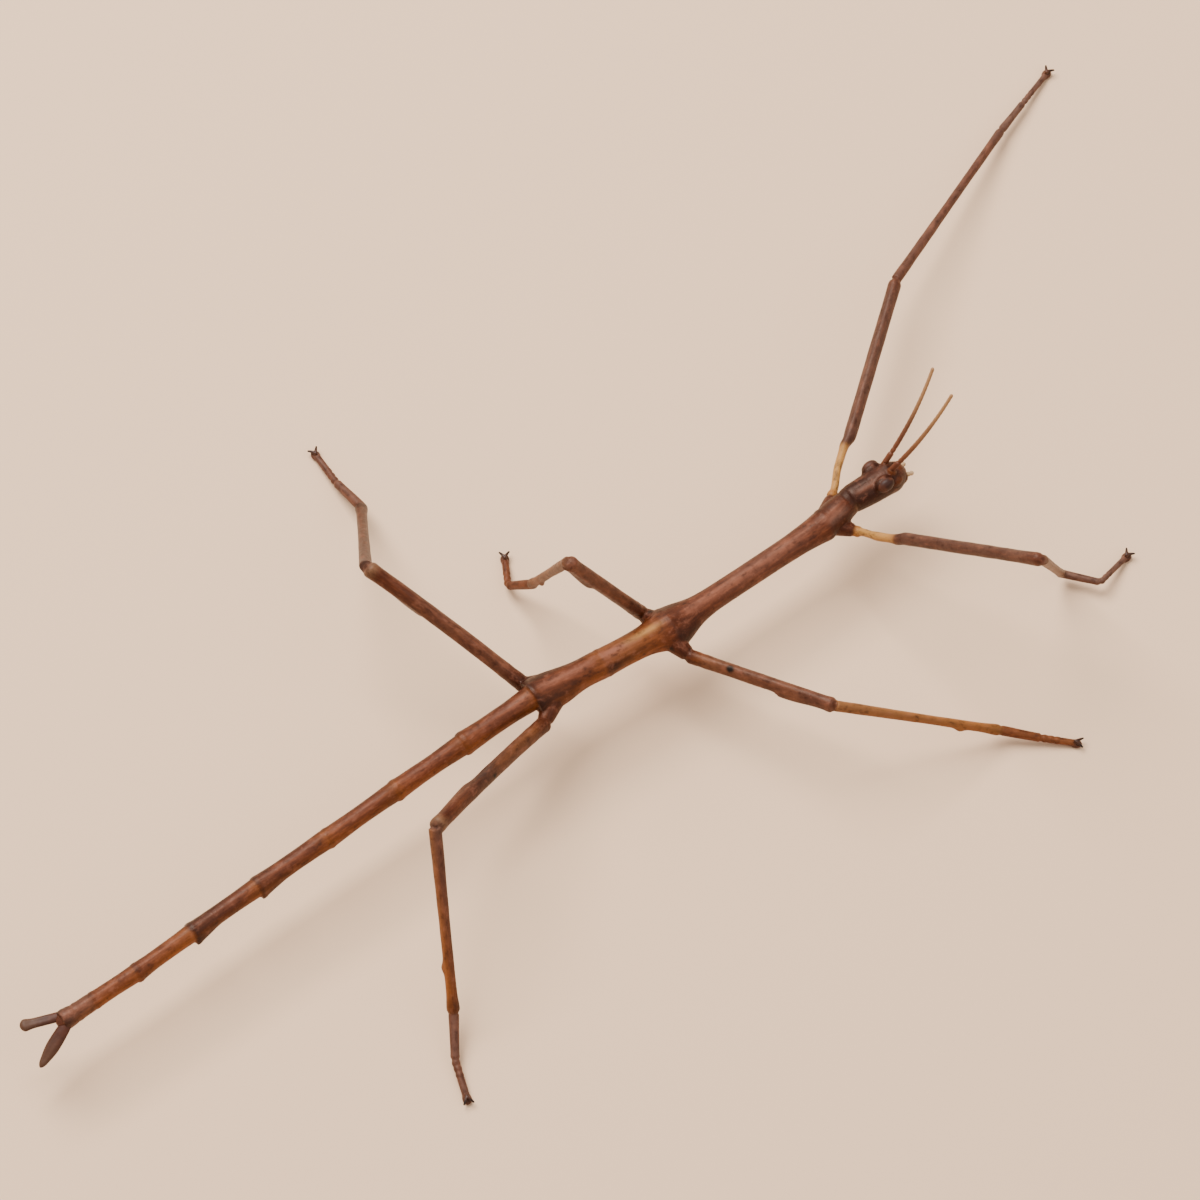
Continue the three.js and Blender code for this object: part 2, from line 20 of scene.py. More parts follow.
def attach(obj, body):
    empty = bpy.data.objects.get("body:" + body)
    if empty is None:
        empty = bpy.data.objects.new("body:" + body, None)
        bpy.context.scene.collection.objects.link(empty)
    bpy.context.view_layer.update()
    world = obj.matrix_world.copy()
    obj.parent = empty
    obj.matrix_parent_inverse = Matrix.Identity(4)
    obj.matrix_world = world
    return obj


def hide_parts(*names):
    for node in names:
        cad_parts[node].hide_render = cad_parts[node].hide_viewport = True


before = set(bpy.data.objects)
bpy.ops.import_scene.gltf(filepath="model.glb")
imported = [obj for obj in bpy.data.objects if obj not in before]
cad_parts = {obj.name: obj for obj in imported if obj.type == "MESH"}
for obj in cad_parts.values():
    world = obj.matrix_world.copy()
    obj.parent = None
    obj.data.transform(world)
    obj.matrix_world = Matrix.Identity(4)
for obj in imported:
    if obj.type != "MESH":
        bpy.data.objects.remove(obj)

logging.basicConfig(level=logging.INFO, format="%(message)s")
log = logging.getLogger("stick_insect")

Array = np.ndarray
Halves = tuple[Array, Array]
Pair = tuple[float, float]
Triple = tuple[float, float, float]
Colour = Triple
Joints = dict[str, Vector]
Girth = Callable[[Array], Halves]
Flap = Callable[[Array, Array], Array]
Link = bpy.types.NodeSocket

MM = 0.001
UP = Vector((0, 0, 1))
FEWEST_CUTS = 4


class Side(Enum):
    """A side of the insect, with the sign of its Y."""

    LEFT = 1
    RIGHT = -1

    @property
    def word(self) -> str:
        """The side's name in small letters."""
        return self.name.lower()


class Row(Enum):
    """A pair of legs, from the head back."""

    FRONT = "front"
    MIDDLE = "middle"
    HIND = "hind"


class Pigment(Enum):
    """What colours the skin's middle brown, each kept as an attribute of the skin's mesh: its own
    stains, a painted highlight, and painted shade, which shares the dark attribute with the skin's own
    dark brown.
    """

    WARM = "warm"
    # The skin's own dark brown, and painted shade on the trunk's edges, flanks and undersides.
    DARK = "dark"
    GREY = "grey"
    PALE = "pale"
    # Painted highlight, pinkish, mostly along the tops of trunk and head.
    LIGHT = "light"
    SPOT = "spot"


# Curves, roundings and directions.


def ease(value: Array, low: float, high: float) -> Array:
    """Rises smoothly from 0 at `low` to 1 at `high`."""
    share = np.clip((value - low) / (high - low), 0, 1)
    return share * share * (3 - 2 * share)


def bump(value: Array, middle: float, spread: float) -> Array:
    """A bell of height 1 about a middle."""
    return np.exp(-(((value - middle) / spread) ** 2))


def rounding(t: Array, start: float, end: float, blunt: float) -> Array:
    """Rounds a tube's two ends.

    Args:
        t: Shares of the tube's length.
        start: The share that the first end's rounding takes, or 0 for none.
        end: The same for the last end.
        blunt: How wide the tips stay.

    Returns:
        1 along the middle, falling towards `blunt` at the tips.
    """
    into = np.ones_like(t)
    if start > 0:
        into = np.minimum(into, t / start)
    if end > 0:
        into = np.minimum(into, (1 - t) / end)
    return np.maximum(blunt, np.sqrt(np.clip(1 - (1 - np.clip(into, 0, 1)) ** 2, 0, 1)))


def heading(azimuth: float, elevation: float) -> Vector:
    """The unit vector at an azimuth from +X and an elevation, in degrees."""
    turn = math.radians(azimuth)
    rise = math.radians(elevation)
    return Vector((math.cos(rise) * math.cos(turn), math.cos(rise) * math.sin(turn), math.sin(rise)))


def no_flap(t: Array, angle: Array) -> Array:
    """Nothing stands out from the tube."""
    return np.zeros_like(t + angle)


def egg(half_width: float, half_height: float, blunt: float, start: float = 0.5,
        end: float = 0.5) -> Girth:
    """The girth of a tube that is rounded at both ends.

    Args:
        half_width: Half its width where it is fullest.
        half_height: Half its height there.
        blunt: How wide the tips stay, as a share.
        start: The share of the length that the first end's rounding takes.
        end: The same for the last end.

    Returns:
        A function from shares of the length to half widths and half heights.
    """
    def girth(t: Array) -> Halves:
        """The half widths and half heights at shares of the length."""
        around = rounding(t, start, end, blunt)
        return half_width * around, half_height * around

    return girth


# Tubes: every stretch of the insect is one.


@dataclass(frozen=True)
class Tone:
    """How much of each colouring a place on the skin carries, the painted highlight among them: 0 is
    none and 1 covers it.
    """

    warm: float = 0.0
    dark: float = 0.0
    grey: float = 0.0
    pale: float = 0.0
    # The amount of painted highlight.
    light: float = 0.0

    def amount(self, pigment: Pigment) -> float:
        """This tone's amount of one colouring, which may be the painted highlight."""
        return getattr(self, pigment.value, 0.0)


PLAIN = Tone()
Stops = tuple[tuple[float, Tone], ...]


@dataclass(frozen=True)
class Tube:
    """A closed tube from one point to another.

    Angles about it are in degrees, 0 at the top and growing to the left of its direction. `arch`
    lifts the middle and `bow` moves it to the left. `station` is where the tube's start lies along
    the body, so that the grain runs on from one segment to the next. `tones` holds stops: shares of
    the length, and the skin's tone there.
    """

    name: str
    start: Vector
    end: Vector
    girth: Girth
    flap: Flap = no_flap
    arch: float = 0.0
    bow: float = 0.0
    upright: bool = False
    sides: int = 24
    step: float = 0.25
    station: float = 0.0
    tones: Stops = ((0.0, PLAIN),)

    @property
    def length(self) -> float:
        """The straight distance from end to end."""
        return (self.end - self.start).length

    def axes(self) -> tuple[Array, Array, Array]:
        """The tube's own directions.

        Returns:
            The unit vectors along it, to its left and to its top.
        """
        along = (self.end - self.start).normalized()
        left = UP.cross(along).normalized()
        top = along.cross(left)
        if self.upright:
            left = Vector((0, 1, 0))
            top = UP
        return np.array(along), np.array(left), np.array(top)

    def middle(self, t: Array) -> Array:
        """The points on the tube's middle line at some shares of its length."""
        along, left, top = self.axes()
        bent = 4 * t * (1 - t)
        line = np.outer(t * self.length, along) + np.outer(self.bow * bent, left)
        return np.array(self.start) + line + np.outer(self.arch * bent, top)

    def wall(self, t: Array, angle: Array) -> Array:
        """The points on the tube's surface at shares of its length and angles about it."""
        _, left, top = self.axes()
        half_width, half_height = self.girth(t)
        extra = self.flap(t, angle)
        wide = np.sin(np.radians(angle)) * (half_width + extra)
        high = np.cos(np.radians(angle)) * (half_height + extra)
        return self.middle(t) + wide[:, None] * left + high[:, None] * top

    def locate(self, points: Array) -> tuple[Array, Array, Array, Array]:
        """Places points in the tube's own measures.

        Args:
            points: One row for each point.

        Returns:
            For each point its share of the length, its angle, its offsets to the left and the top
            as two columns, and how far outside the tube it is.
        """
        along, left, top = self.axes()
        reach = (points - np.array(self.start)) @ along / self.length
        t = np.clip(reach, 0, 1)
        away = points - self.middle(t)
        wide = away @ left
        high = away @ top
        angle = np.degrees(np.arctan2(wide, high))
        half_width, half_height = self.girth(t)
        extra = self.flap(t, angle)
        share = np.hypot(wide / (half_width + extra), high / (half_height + extra))
        past = np.abs(reach - t) * self.length
        gap = np.abs(share - 1) * (half_width + half_height) / 2 + past
        return t, angle, np.stack([wide, high], axis=1), gap

    def grow(self, shape: bmesh.types.BMesh) -> None:
        """Adds the tube to a shape as a closed, evenly divided cylinder moved onto its wall."""
        first = len(shape.verts)
        bmesh.ops.create_cone(
            shape, cap_ends=True, segments=self.sides, radius1=1, radius2=1, depth=1
        )
        shape.verts.ensure_lookup_table()
        sides = {edge for vertex in shape.verts[first:] for edge in vertex.link_edges}
        lengthwise = [edge for edge in sides if abs(edge.verts[0].co.z - edge.verts[1].co.z) > 0.5]
        cuts = max(FEWEST_CUTS, round(self.length / self.step))
        bmesh.ops.subdivide_edges(shape, edges=lengthwise, cuts=cuts, use_grid_fill=True)
        shape.verts.ensure_lookup_table()
        vertices = shape.verts[first:]
        raw = np.array([vertex.co for vertex in vertices])
        t = (1 - np.cos(np.pi * np.clip(raw[:, 2] + 0.5, 0, 1))) / 2
        angle = np.degrees(np.arctan2(raw[:, 1], raw[:, 0]))
        shares = shape.verts.layers.float.get("share")
        for vertex, place, share in zip(vertices, self.wall(t, angle), t):
            vertex.co = place
            if shares:
                vertex[shares] = share


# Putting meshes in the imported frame.


@dataclass(frozen=True)
class Neck:
    """The front of the neck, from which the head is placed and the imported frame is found."""

    front: float = 113.2
    side: float = 0.65
    height: float = 8.9
    half_gap: float = 0.05
    tolerance: float = 1e-6

    @property
    def point(self) -> Vector:
        """The middle of the neck's front."""
        return Vector((self.front, self.side, self.height))

    def body_origin(self) -> Vector:
        """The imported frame's place, in metres, for the body's own origin."""
        corners = np.array([vertex.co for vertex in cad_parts["neck"].data.vertices])
        front = corners[:, 0].max()
        face = corners[front - corners[:, 0] < self.tolerance]
        side = (face[:, 1].min() + face[:, 1].max()) / 2
        return Vector((front - (self.front - self.half_gap) * MM, side - self.side * MM, 0))


NECK = Neck()


def add_to_scene(name: str, data: bpy.types.ID) -> bpy.types.Object:
    """Makes an object of a mesh, a lamp or a camera, at the scene's origin."""
    thing = bpy.data.objects.new(name, data)
    bpy.context.scene.collection.objects.link(thing)
    return thing


class Maker:
    """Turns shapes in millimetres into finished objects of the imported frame."""

    def __init__(self) -> None:
        """Finds where the body's own origin lies."""
        self.origin = NECK.body_origin()

    def place(self, point: Vector) -> Vector:
        """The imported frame's point, in metres, for a point of the body's frame."""
        return self.origin + point * MM

    def from_tubes(self, name: str, tubes: Iterable[Tube]) -> bpy.types.Object:
        """Builds one smooth-shaded object, in millimetres, from tubes that stay separate shells."""
        shape = bmesh.new()
        shape.verts.layers.float.new("share")
        for tube in tubes:
            tube.grow(shape)
        bmesh.ops.recalc_face_normals(shape, faces=shape.faces)
        mesh = bpy.data.meshes.new(name)
        shape.to_mesh(mesh)
        shape.free()
        mesh.polygons.foreach_set("use_smooth", np.ones(len(mesh.polygons), bool))
        return add_to_scene(name, mesh)

    def finish(self, thing: bpy.types.Object, nodes: Sequence[str], slot: str,
               material: bpy.types.Material) -> None:
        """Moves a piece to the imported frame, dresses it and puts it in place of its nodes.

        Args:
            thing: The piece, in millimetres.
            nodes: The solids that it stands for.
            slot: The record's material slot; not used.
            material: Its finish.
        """
        thing.data.transform(Matrix.Translation(self.origin) @ Matrix.Scale(MM, 4))
        thing.data.materials.clear()
        thing.data.materials.append(material)
        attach(thing, "root")
        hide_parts(*nodes)
        log.info("%s: %d faces for %s", thing.name, len(thing.data.polygons), ", ".join(nodes))


# Trunk.


@dataclass(frozen=True)
class Segment:
    """One segment of the trunk, with its widths at the front, the waist and the hind edge.

    A higher flare keeps the widening closer to the edges. The lobe is the flap on each lower hind
    corner. The flank is a swelling over the coxae: how far ahead of the hind edge it is highest, how
    far it spreads and its height. Side and height place the middle of the hind edge.
    """

    name: str
    length: float
    widths: Triple
    side: float
    height: float
    flare: float = 2.0
    lobe: float = 0.0
    flank: Triple = (0.0, 1.0, 0.0)
    tones: Stops = ((0.0, PLAIN),)


@dataclass
class Trunk:
    """The neck, thorax and abdomen: one segment behind the other along the body.

    Rims, grooves and the keel's ends are placed in millimetres from a segment's edges. The lobes'
    start is a share of its length, counted from the front.
    """

    depth: float = 0.95
    overlap: float = 0.06
    lobe_start: float = 0.62
    lobe_angle: float = 120.0
    lobe_spread: float = 28.0
    rim: float = 0.05
    rim_place: float = 0.45
    rim_spread: float = 0.2
    hind_groove: float = 0.16
    front_groove: float = 0.2
    keel: float = 0.04
    keel_spread: float = 9.0
    keel_ends: Pair = (0.2, 1.2)
    flank_angle: float = 108.0
    flank_spread: float = 42.0
    operculum_drop: float = 0.62
    operculum_front: float = 0.15
    plate_back: Triple = (0.75, 0, 0.1)
    plate_front: Triple = (1.2, 0, 0.2)
    # Name, length, widths at the front, waist and hind edge, then the hind edge's side and height.
    segments: tuple[Segment, ...] = (
        Segment("neck", 0.8, (3.4, 3.35, 3.5), 0.4, 8.9,
                tones=((0, Tone(dark=0.9)), (0.3, Tone(dark=1.1)))),
        Segment("prothorax", 3.9, (3.4, 3.7, 3.95), -0.25, 8.8,
                tones=((0, Tone(dark=0.6)), (0.5, Tone(dark=0.4)), (1, Tone(dark=0.5)))),
        Segment("mesothorax", 22.8, (3.9, 2.95, 4.4), -0.5, 8.9, flare=4, flank=(0.9, 2.9, 0.85),
                tones=((0, Tone(dark=0.5)), (0.12, Tone(dark=0.3)), (0.25, Tone(grey=0.1)),
                       (0.6, Tone(grey=0.25)), (0.9, Tone(grey=0.1, dark=0.1)), (1, Tone(dark=0.4)))),
        Segment("metathorax", 9.3, (4.3, 3.5, 3.7), 0.05, 9.4, flare=3, flank=(10.2, 3.2, 0.95),
                tones=((0, Tone(warm=0.25, dark=0.1)), (0.4, Tone(warm=0.5)), (0.8, Tone(warm=0.2)),
                       (1, Tone(dark=0.35)))),
        Segment("abdomen_1", 9.2, (3.7, 3.4, 3.8), 1.0, 9.9, flank=(2.2, 3.2, 0.8),
                tones=((0, Tone(dark=0.6)), (0.3, Tone(dark=0.25)), (1, Tone(dark=0.1, warm=0.1)))),
        Segment("abdomen_2", 10.0, (3.2, 2.7, 3.0), 0.9, 9.6, lobe=0.05,
                tones=((0, Tone(warm=0.25)), (0.15, Tone(dark=0.15)), (1, Tone(dark=0.35)))),
        Segment("abdomen_3", 9.8, (2.7, 2.4, 2.7), 0.7, 9.3, lobe=0.05,
                tones=((0, Tone(warm=0.35)), (0.15, PLAIN), (1, Tone(dark=0.25)))),
        Segment("abdomen_4", 9.9, (2.5, 2.3, 2.5), 0.4, 9.0, lobe=0.1,
                tones=((0, Tone(warm=0.3)), (0.15, Tone(dark=0.12)), (1, Tone(dark=0.35)))),
        Segment("abdomen_5", 9.9, (2.5, 2.3, 2.55), 0.15, 8.8, lobe=0.4,
                tones=((0, Tone(dark=0.55)), (0.3, Tone(dark=0.4)), (0.9, Tone(dark=0.2)),
                       (1, Tone(warm=0.2, dark=0.1)))),
        Segment("abdomen_6", 9.4, (2.4, 2.2, 2.4), -0.2, 8.7, lobe=0.5,
                tones=((0, Tone(dark=0.85)), (0.35, Tone(dark=0.6)), (0.9, Tone(dark=0.35)),
                       (1, Tone(warm=0.2, dark=0.2)))),
        Segment("abdomen_7", 8.1, (2.3, 2.1, 2.3), -0.6, 8.6, lobe=0.15,
                tones=((0, Tone(dark=0.3)), (0.5, Tone(warm=0.15)), (1, Tone(dark=0.2, warm=0.2)))),
        Segment("abdomen_8", 6.0, (2.2, 2.1, 2.2), -0.6, 8.5,
                tones=((0, Tone(dark=0.1)), (0.5, Tone(warm=0.2)), (1, Tone(dark=0.15)))),
        Segment("abdomen_9", 2.4, (2.2, 2.2, 2.35), -0.65, 8.5,
                tones=((0, Tone(dark=0.3, grey=0.2)),)),
        Segment("abdomen_10", 1.7, (2.3, 2.5, 2.4), -0.6, 8.5,
                tones=((0, Tone(dark=0.5, grey=0.2)),)),
    )

    def __post_init__(self) -> None:
        """Works out where each segment starts and ends, from the neck back."""
        self.spans: dict[str, tuple[Vector, Vector]] = {}
        front = NECK.point
        for segment in self.segments:
            hind = Vector((front.x - segment.length, segment.side, segment.height))
            self.spans[segment.name] = (front, hind)
            front = hind
        self.tip = front

    def middle(self, station: float) -> Vector:
        """The trunk's middle at a station along the body."""
        for front, hind in self.spans.values():
            if hind.x <= station <= front.x:
                return front.lerp(hind, (front.x - station) / (front.x - hind.x))
        raise ValueError(f"no trunk at {station}")

    def tube(self, segment: Segment) -> Tube:
        """The tube of one segment, from its hind edge to its front."""
        front, hind = self.spans[segment.name]
        over = (front - hind).normalized() * self.overlap
        front_width, waist, hind_width = segment.widths

        def girth(t: Array) -> Halves:
            """Slimmest at the waist and wider towards both edges."""
            back = 1 - 2 * t
            edge = np.where(back > 0, hind_width, front_width)
            width = waist + (edge - waist) * np.abs(back) ** segment.flare
            return width / 2, width / 2 * self.depth

        def flap(t: Array, angle: Array) -> Array:
            """The hind lobes, the edges' rim and grooves, the keel and the flank's swelling."""
            from_hind = t * segment.length
            from_front = (1 - t) * segment.length
            share = np.clip((1 - t - self.lobe_start) / (1 - self.lobe_start), 0, 1)
            lobe = segment.lobe * share * bump(np.abs(angle), self.lobe_angle, self.lobe_spread)
            edges = bump(from_hind, 0, self.hind_groove) + bump(from_front, 0, self.front_groove)
            inside = ease(from_hind, *self.keel_ends) * ease(from_front, *self.keel_ends)
            keel = self.keel * bump(angle, 0, self.keel_spread) * inside
            ahead, spread, height = segment.flank
            around = bump(np.abs(angle), self.flank_angle, self.flank_spread)
            swell = height * bump(from_hind, ahead, spread) * around
            rim = bump(from_hind, self.rim_place, self.rim_spread)
            return lobe - self.rim * edges + keel + swell + self.rim * rim

        return Tube(segment.name, hind - over, front + over, girth, flap, upright=True, sides=40,
                    station=hind.x, tones=segment.tones)

    def operculum(self) -> Tube:
        """The keeled plate under the abdomen's last segments."""
        drop = Vector((0, 0, -self.operculum_drop))
        front, hind = self.spans["abdomen_8"][0], self.spans["abdomen_10"][1]
        girth = egg(half_width=0.75, half_height=0.72, blunt=0.3, start=0.3, end=0.4)
        return Tube("operculum", hind + drop, front.lerp(hind, self.operculum_front) + drop, girth,
                    upright=True, tones=((0, Tone(dark=0.4)),))

    def tail_plate(self) -> Tube:
        """The small rounded plate over the roots of the cerci."""
        girth = egg(half_width=0.95, half_height=0.72, blunt=0.2)
        return Tube("tail_plate", self.tip - Vector(self.plate_back),
                    self.tip + Vector(self.plate_front), girth, upright=True, step=0.12,
                    tones=((0, Tone(dark=0.3, grey=0.15)),))

    def tubes(self) -> list[Tube]:
        """All the trunk's tubes."""
        ends = [self.operculum(), self.tail_plate()]
        return [self.tube(segment) for segment in self.segments] + ends


# Head.


@dataclass(frozen=True)
class Bulge:
    """An egg-shaped swelling of the head, set along its forward direction.

    Its place is ahead, to the left and up in the head's own frame, and `flat` is its height as a
    share of its width. A paired one is on both sides.
    """

    name: str
    place: Triple
    half_length: float
    half_width: float
    tone: Tone
    flat: float = 1.0
    paired: bool = True


@dataclass(frozen=True)
class Head:
    """The head capsule, with its sockets and mouth, and what is set on it.

    Places are ahead, to the left and up in the head's own frame, which is pitched up and rolled
    over from the body's.
    """

    length: float = 7.6
    pitch: float = 12.0
    roll: float = 18.0
    width: float = 3.9
    height: float = 3.6
    chin_drop: float = 1.5
    nape_width: float = 0.9
    fullest: float = 0.62
    eye: Triple = (4.3, 1.8, 0.35)
    eye_size: Triple = (2.2, 1.5, 1.7)
    eye_turn: float = 0.05
    palp: Triple = (6.7, 0.6, -1.6)
    palp_length: float = 1.57
    palp_radius: float = 0.29
    palp_aim: Pair = (12.0, -8.0)
    antenna: Triple = (6.0, 0.75, 0.7)
    antenna_length: float = 13.0
    antenna_bow: float = -0.45
    antenna_radii: Triple = (0.36, 0.3, 0.22)
    left_antenna_aim: Pair = (19.0, 42.0)
    right_antenna_aim: Pair = (-3.0, 51.0)
    bulges: tuple[Bulge, ...] = (
        Bulge("lip", (7.1, 0, -1.5), 0.55, 0.72, Tone(pale=0.3, grey=0.4, dark=0.15), 0.85, False),
        Bulge("face", (6.6, 0, -0.75), 0.9, 1.15, Tone(dark=0.35, warm=0.15), 0.85, False),
        Bulge("socket", (5.9, 0.75, 0.35), 0.5, 0.55, Tone(dark=0.3, warm=0.2)),
        Bulge("jaw", (6.45, 0.82, -1.8), 0.9, 0.62, Tone(dark=0.5, warm=0.1)),
        Bulge("orbit", (4.2, 1.38, 0.3), 1.28, 0.88, Tone(dark=0.95)),
        Bulge("cheek", (5.5, 1.2, -0.85), 1.2, 0.75, Tone(dark=0.5, warm=0.1), 1.1),
    )
    tones: Stops = (
        (0, Tone(dark=1.15)), (0.35, Tone(dark=1.05)), (0.62, Tone(dark=0.8)),
        (0.78, Tone(dark=0.85)), (1, Tone(dark=0.7, grey=0.3)),
    )

    def place(self, forward: float, left: float, up: float) -> Vector:
        """A point of the head's own frame, moved to its place in front of the neck."""
        tilt = Matrix.Rotation(-math.radians(self.pitch), 3, "Y")
        lean = Matrix.Rotation(-math.radians(self.roll), 3, "X")
        return tilt @ lean @ Vector((forward, left, up)) + NECK.point

    def capsule(self) -> Tube:
        """The head itself: narrow at the neck, widest at the eyes, rounded down to the mouth."""
        def girth(t: Array) -> Halves:
            """Growing from the nape to its fullest, with the neck's end and the front rounded."""
            grown = np.sin(np.clip(t / self.fullest, 0, 1) * np.pi / 2)
            cheek = self.nape_width + (1 - self.nape_width) * grown
            around = rounding(t, 0.04, 0, blunt=0.6) * rounding(t, 0, 0.34, blunt=0.2)
            return self.width / 2 * cheek * around, self.height / 2 * cheek * around

        def flap(t: Array, angle: Array) -> Array:
            """The groove along the crown, the crease of the nape, the brows and the cheeks."""
            groove = -0.06 * bump(angle, 0, 7) * ease(t, 0.05, 0.15) * (1 - ease(t, 0.45, 0.6))
            nape = -0.03 * bump(t, 0.04, 0.02)
            brow = 0.08 * bump(t, 0.72, 0.07) * bump(np.abs(angle), 35, 18)
            cheeks = 0.1 * bump(t, 0.78, 0.1) * bump(np.abs(angle), 120, 25)
            return groove + nape + brow + cheeks

        return Tube("head", self.place(-0.1, 0, 0), self.place(self.length, 0, -self.chin_drop),
                    girth, flap, sides=40, step=0.15, tones=self.tones)

    def swelling(self, bulge: Bulge, sign: int) -> Tube:
        """The tube of a bulge, mirrored to the right by a sign of -1."""
        ahead, left, up = bulge.place
        start = self.place(ahead - bulge.half_length, sign * left, up)
        end = self.place(ahead + bulge.half_length, sign * left, up)
        girth = egg(bulge.half_width, bulge.half_width * bulge.flat, blunt=0.05)
        return Tube(bulge.name, start, end, girth, step=0.12, tones=((0, bulge.tone),))

    def tubes(self) -> list[Tube]:
        """The capsule and its bulges."""
        single = [self.swelling(bulge, 1) for bulge in self.bulges if not bulge.paired]
        paired = [self.swelling(bulge, side.value) for side in Side for bulge in self.bulges
                  if bulge.paired]
        return [self.capsule()] + single + paired

    def eye_tube(self, side: Side) -> Tube:
        """One compound eye, an egg set into the side of the head and turned a little outwards."""
        sign = side.value
        ahead, out, up = self.eye
        half_length, half_width, half_height = (size / 2 for size in self.eye_size)
        start = self.place(ahead - half_length, sign * (out - self.eye_turn), up)
        end = self.place(ahead + half_length, sign * (out + self.eye_turn), up)
        return Tube("eye", start, end, egg(half_width, half_height, blunt=0.02), sides=40, step=0.07)

    def palp_tube(self, side: Side) -> Tube:
        """One jointed feeler beside the mouth."""
        ahead, out, up = self.palp
        base = self.place(ahead, side.value * out, up)
        azimuth, elevation = self.palp_aim

        def girth(t: Array) -> Halves:
            """Even, but for two narrow joints and a rounded tip."""
            joints = 1 - 0.26 * (bump(t, 0.4, 0.04) + bump(t, 0.7, 0.04))
            around = self.palp_radius * joints * rounding(t, 0, 0.18, blunt=0.2)
            return around, around

        end = base + heading(side.value * azimuth, elevation) * self.palp_length
        return Tube("palp", base, end, girth, step=0.05, sides=20)

    def antenna_tube(self, side: Side) -> Tube:
        """One antenna: a stout first joint, a bead, and a whip of many short joints."""
        ahead, out, up = self.antenna
        base = self.place(ahead, side.value * out, up)
        aim = self.left_antenna_aim if side is Side.LEFT else self.right_antenna_aim
        stout, slender, tip = self.antenna_radii

        def girth(t: Array) -> Halves:
            """Stout, then tapering, with a ring at every joint; places are in millimetres."""
            along = t * self.antenna_length
            past = ease(along, 1.3, 1.6)
            taper = stout * (1 - past) + slender * past - (slender - tip) * ease(t, 0.15, 1.0)
            neck = 1 - 0.24 * bump(along, 1.5, 0.1) - 0.18 * bump(along, 2.15, 0.09)
            rings = 1 - 0.09 * ease(along, 2.4, 2.8) * np.abs(np.cos(np.pi * along / 0.62)) ** 8
            around = taper * neck * rings * rounding(t, 0.01, 0.02, blunt=0.25)
            return around, around

        return Tube("antenna", base, base + heading(*aim) * self.antenna_length, girth,
                    bow=self.antenna_bow, step=0.07, sides=20)


# Tail.


@dataclass(frozen=True)
class Cercus:
    """One leaf-shaped feeler of the abdomen's tip.

    The belly and the knob widen it at its middle and near its tip, and the taper narrows its end.
    """

    side: Side
    length: float
    azimuth: float
    elevation: float
    knob: float = 0.0
    belly: float = 0.0
    taper: float = 0.0
    radius: float = 0.68
    slimmest: float = 0.92
    flatness: float = 0.6
    root_side: float = 0.7
    root_drop: float = 0.05
    root_depth: float = 0.8
    groove: float = 0.07

    def tube(self, tip: Vector) -> Tube:
        """The cercus's tube, rooted in the abdomen's tip."""
        base = tip + Vector((0, self.side.value * self.root_side, -self.root_drop))
        aim = heading(self.azimuth, self.elevation)

        def girth(t: Array) -> Halves:
            """A flattened leaf with a rounded tip."""
            leaf = self.slimmest + self.belly * np.sin(np.pi * t) + self.knob * bump(t, 0.9, 0.12)
            leaf = leaf - self.taper * ease(t, 0.55, 1.0)
            around = self.radius * leaf * rounding(t, 0, 0.12, blunt=0.12)
            return around, around * self.flatness

        def flap(t: Array, angle: Array) -> Array:
            """The shallow groove along the top."""
            return -self.groove * bump(angle, 0, 22) * ease(t, 0.25, 0.4) * (1 - ease(t, 0.8, 0.95))

        return Tube("cercus", base - aim * self.root_depth, base + aim * self.length, girth, flap,
                    sides=32, step=0.1)


CERCI = (
    Cercus(Side.LEFT, length=4.58, azimuth=158.0, elevation=-4.0, knob=0.22),
    Cercus(Side.RIGHT, length=5.58, azimuth=-160.0, elevation=-22.0, belly=0.3, taper=0.35),
)


# Legs.


@dataclass(frozen=True)
class LegSizes:
    """The sizes that both legs of a row share.

    `hip` is the station along the body, the distance from the trunk's middle and the drop below it,
    and `root` is how far out from the middle and how far ahead of the hip the coxa starts. The thigh
    is slim up to the share `slim_to` of its length. `hollow` moves its slim stretch outwards, and
    `knob` is the trochanter's size as a share of it.
    """

    row: Row
    hip: Triple
    root: Pair
    coxa_radius: float
    femur_length: float
    femur_radius: float
    slim: float
    slim_to: float
    knee_radius: float
    tibia_length: float
    tibia_radius: float
    ankle_radius: float
    basitarsus_length: float
    toe_length: float
    tarsus_radius: float
    femur_lobe: float = 0.0
    tibia_lobe: float = 0.0
    bow: float = 0.0
    hollow: float = 0.0
    root_swell: float = 0.14
    knob: float = 1.14
    knob_tone: Tone = Tone(dark=0.7)


FRONT = LegSizes(
    row=Row.FRONT, hip=(111.6, 3.0, 0.9), root=(0.9, -1.6), coxa_radius=1.25,
    femur_length=31.4, femur_radius=0.82, slim=0.5, slim_to=0.24, knee_radius=0.88,
    tibia_length=28.3, tibia_radius=0.57, ankle_radius=0.56,
    basitarsus_length=4.8, toe_length=5.4, tarsus_radius=0.46,
    hollow=0.36, root_swell=0.0, knob=1.4, knob_tone=Tone(warm=0.6, pale=0.35),
)
MIDDLE = LegSizes(
    row=Row.MIDDLE, hip=(85.9, 4.2, 0.8), root=(1.2, -0.6), coxa_radius=1.45,
    femur_length=19.0, femur_radius=0.86, slim=0.78, slim_to=0.1, knee_radius=0.95,
    tibia_length=22.0, tibia_radius=0.61, ankle_radius=0.7,
    basitarsus_length=4.8, toe_length=4.0, tarsus_radius=0.55, femur_lobe=0.4, tibia_lobe=0.35,
)
HIND = LegSizes(
    row=Row.HIND, hip=(67.6, 3.2, 0.9), root=(0.9, 2.0), coxa_radius=1.5,
    femur_length=23.0, femur_radius=0.98, slim=0.9, slim_to=0.1, knee_radius=1.07, bow=-0.2,
    tibia_length=22.2, tibia_radius=0.7, ankle_radius=0.78,
    basitarsus_length=5.3, toe_length=4.7, tarsus_radius=0.57, femur_lobe=0.68, tibia_lobe=0.4,
)


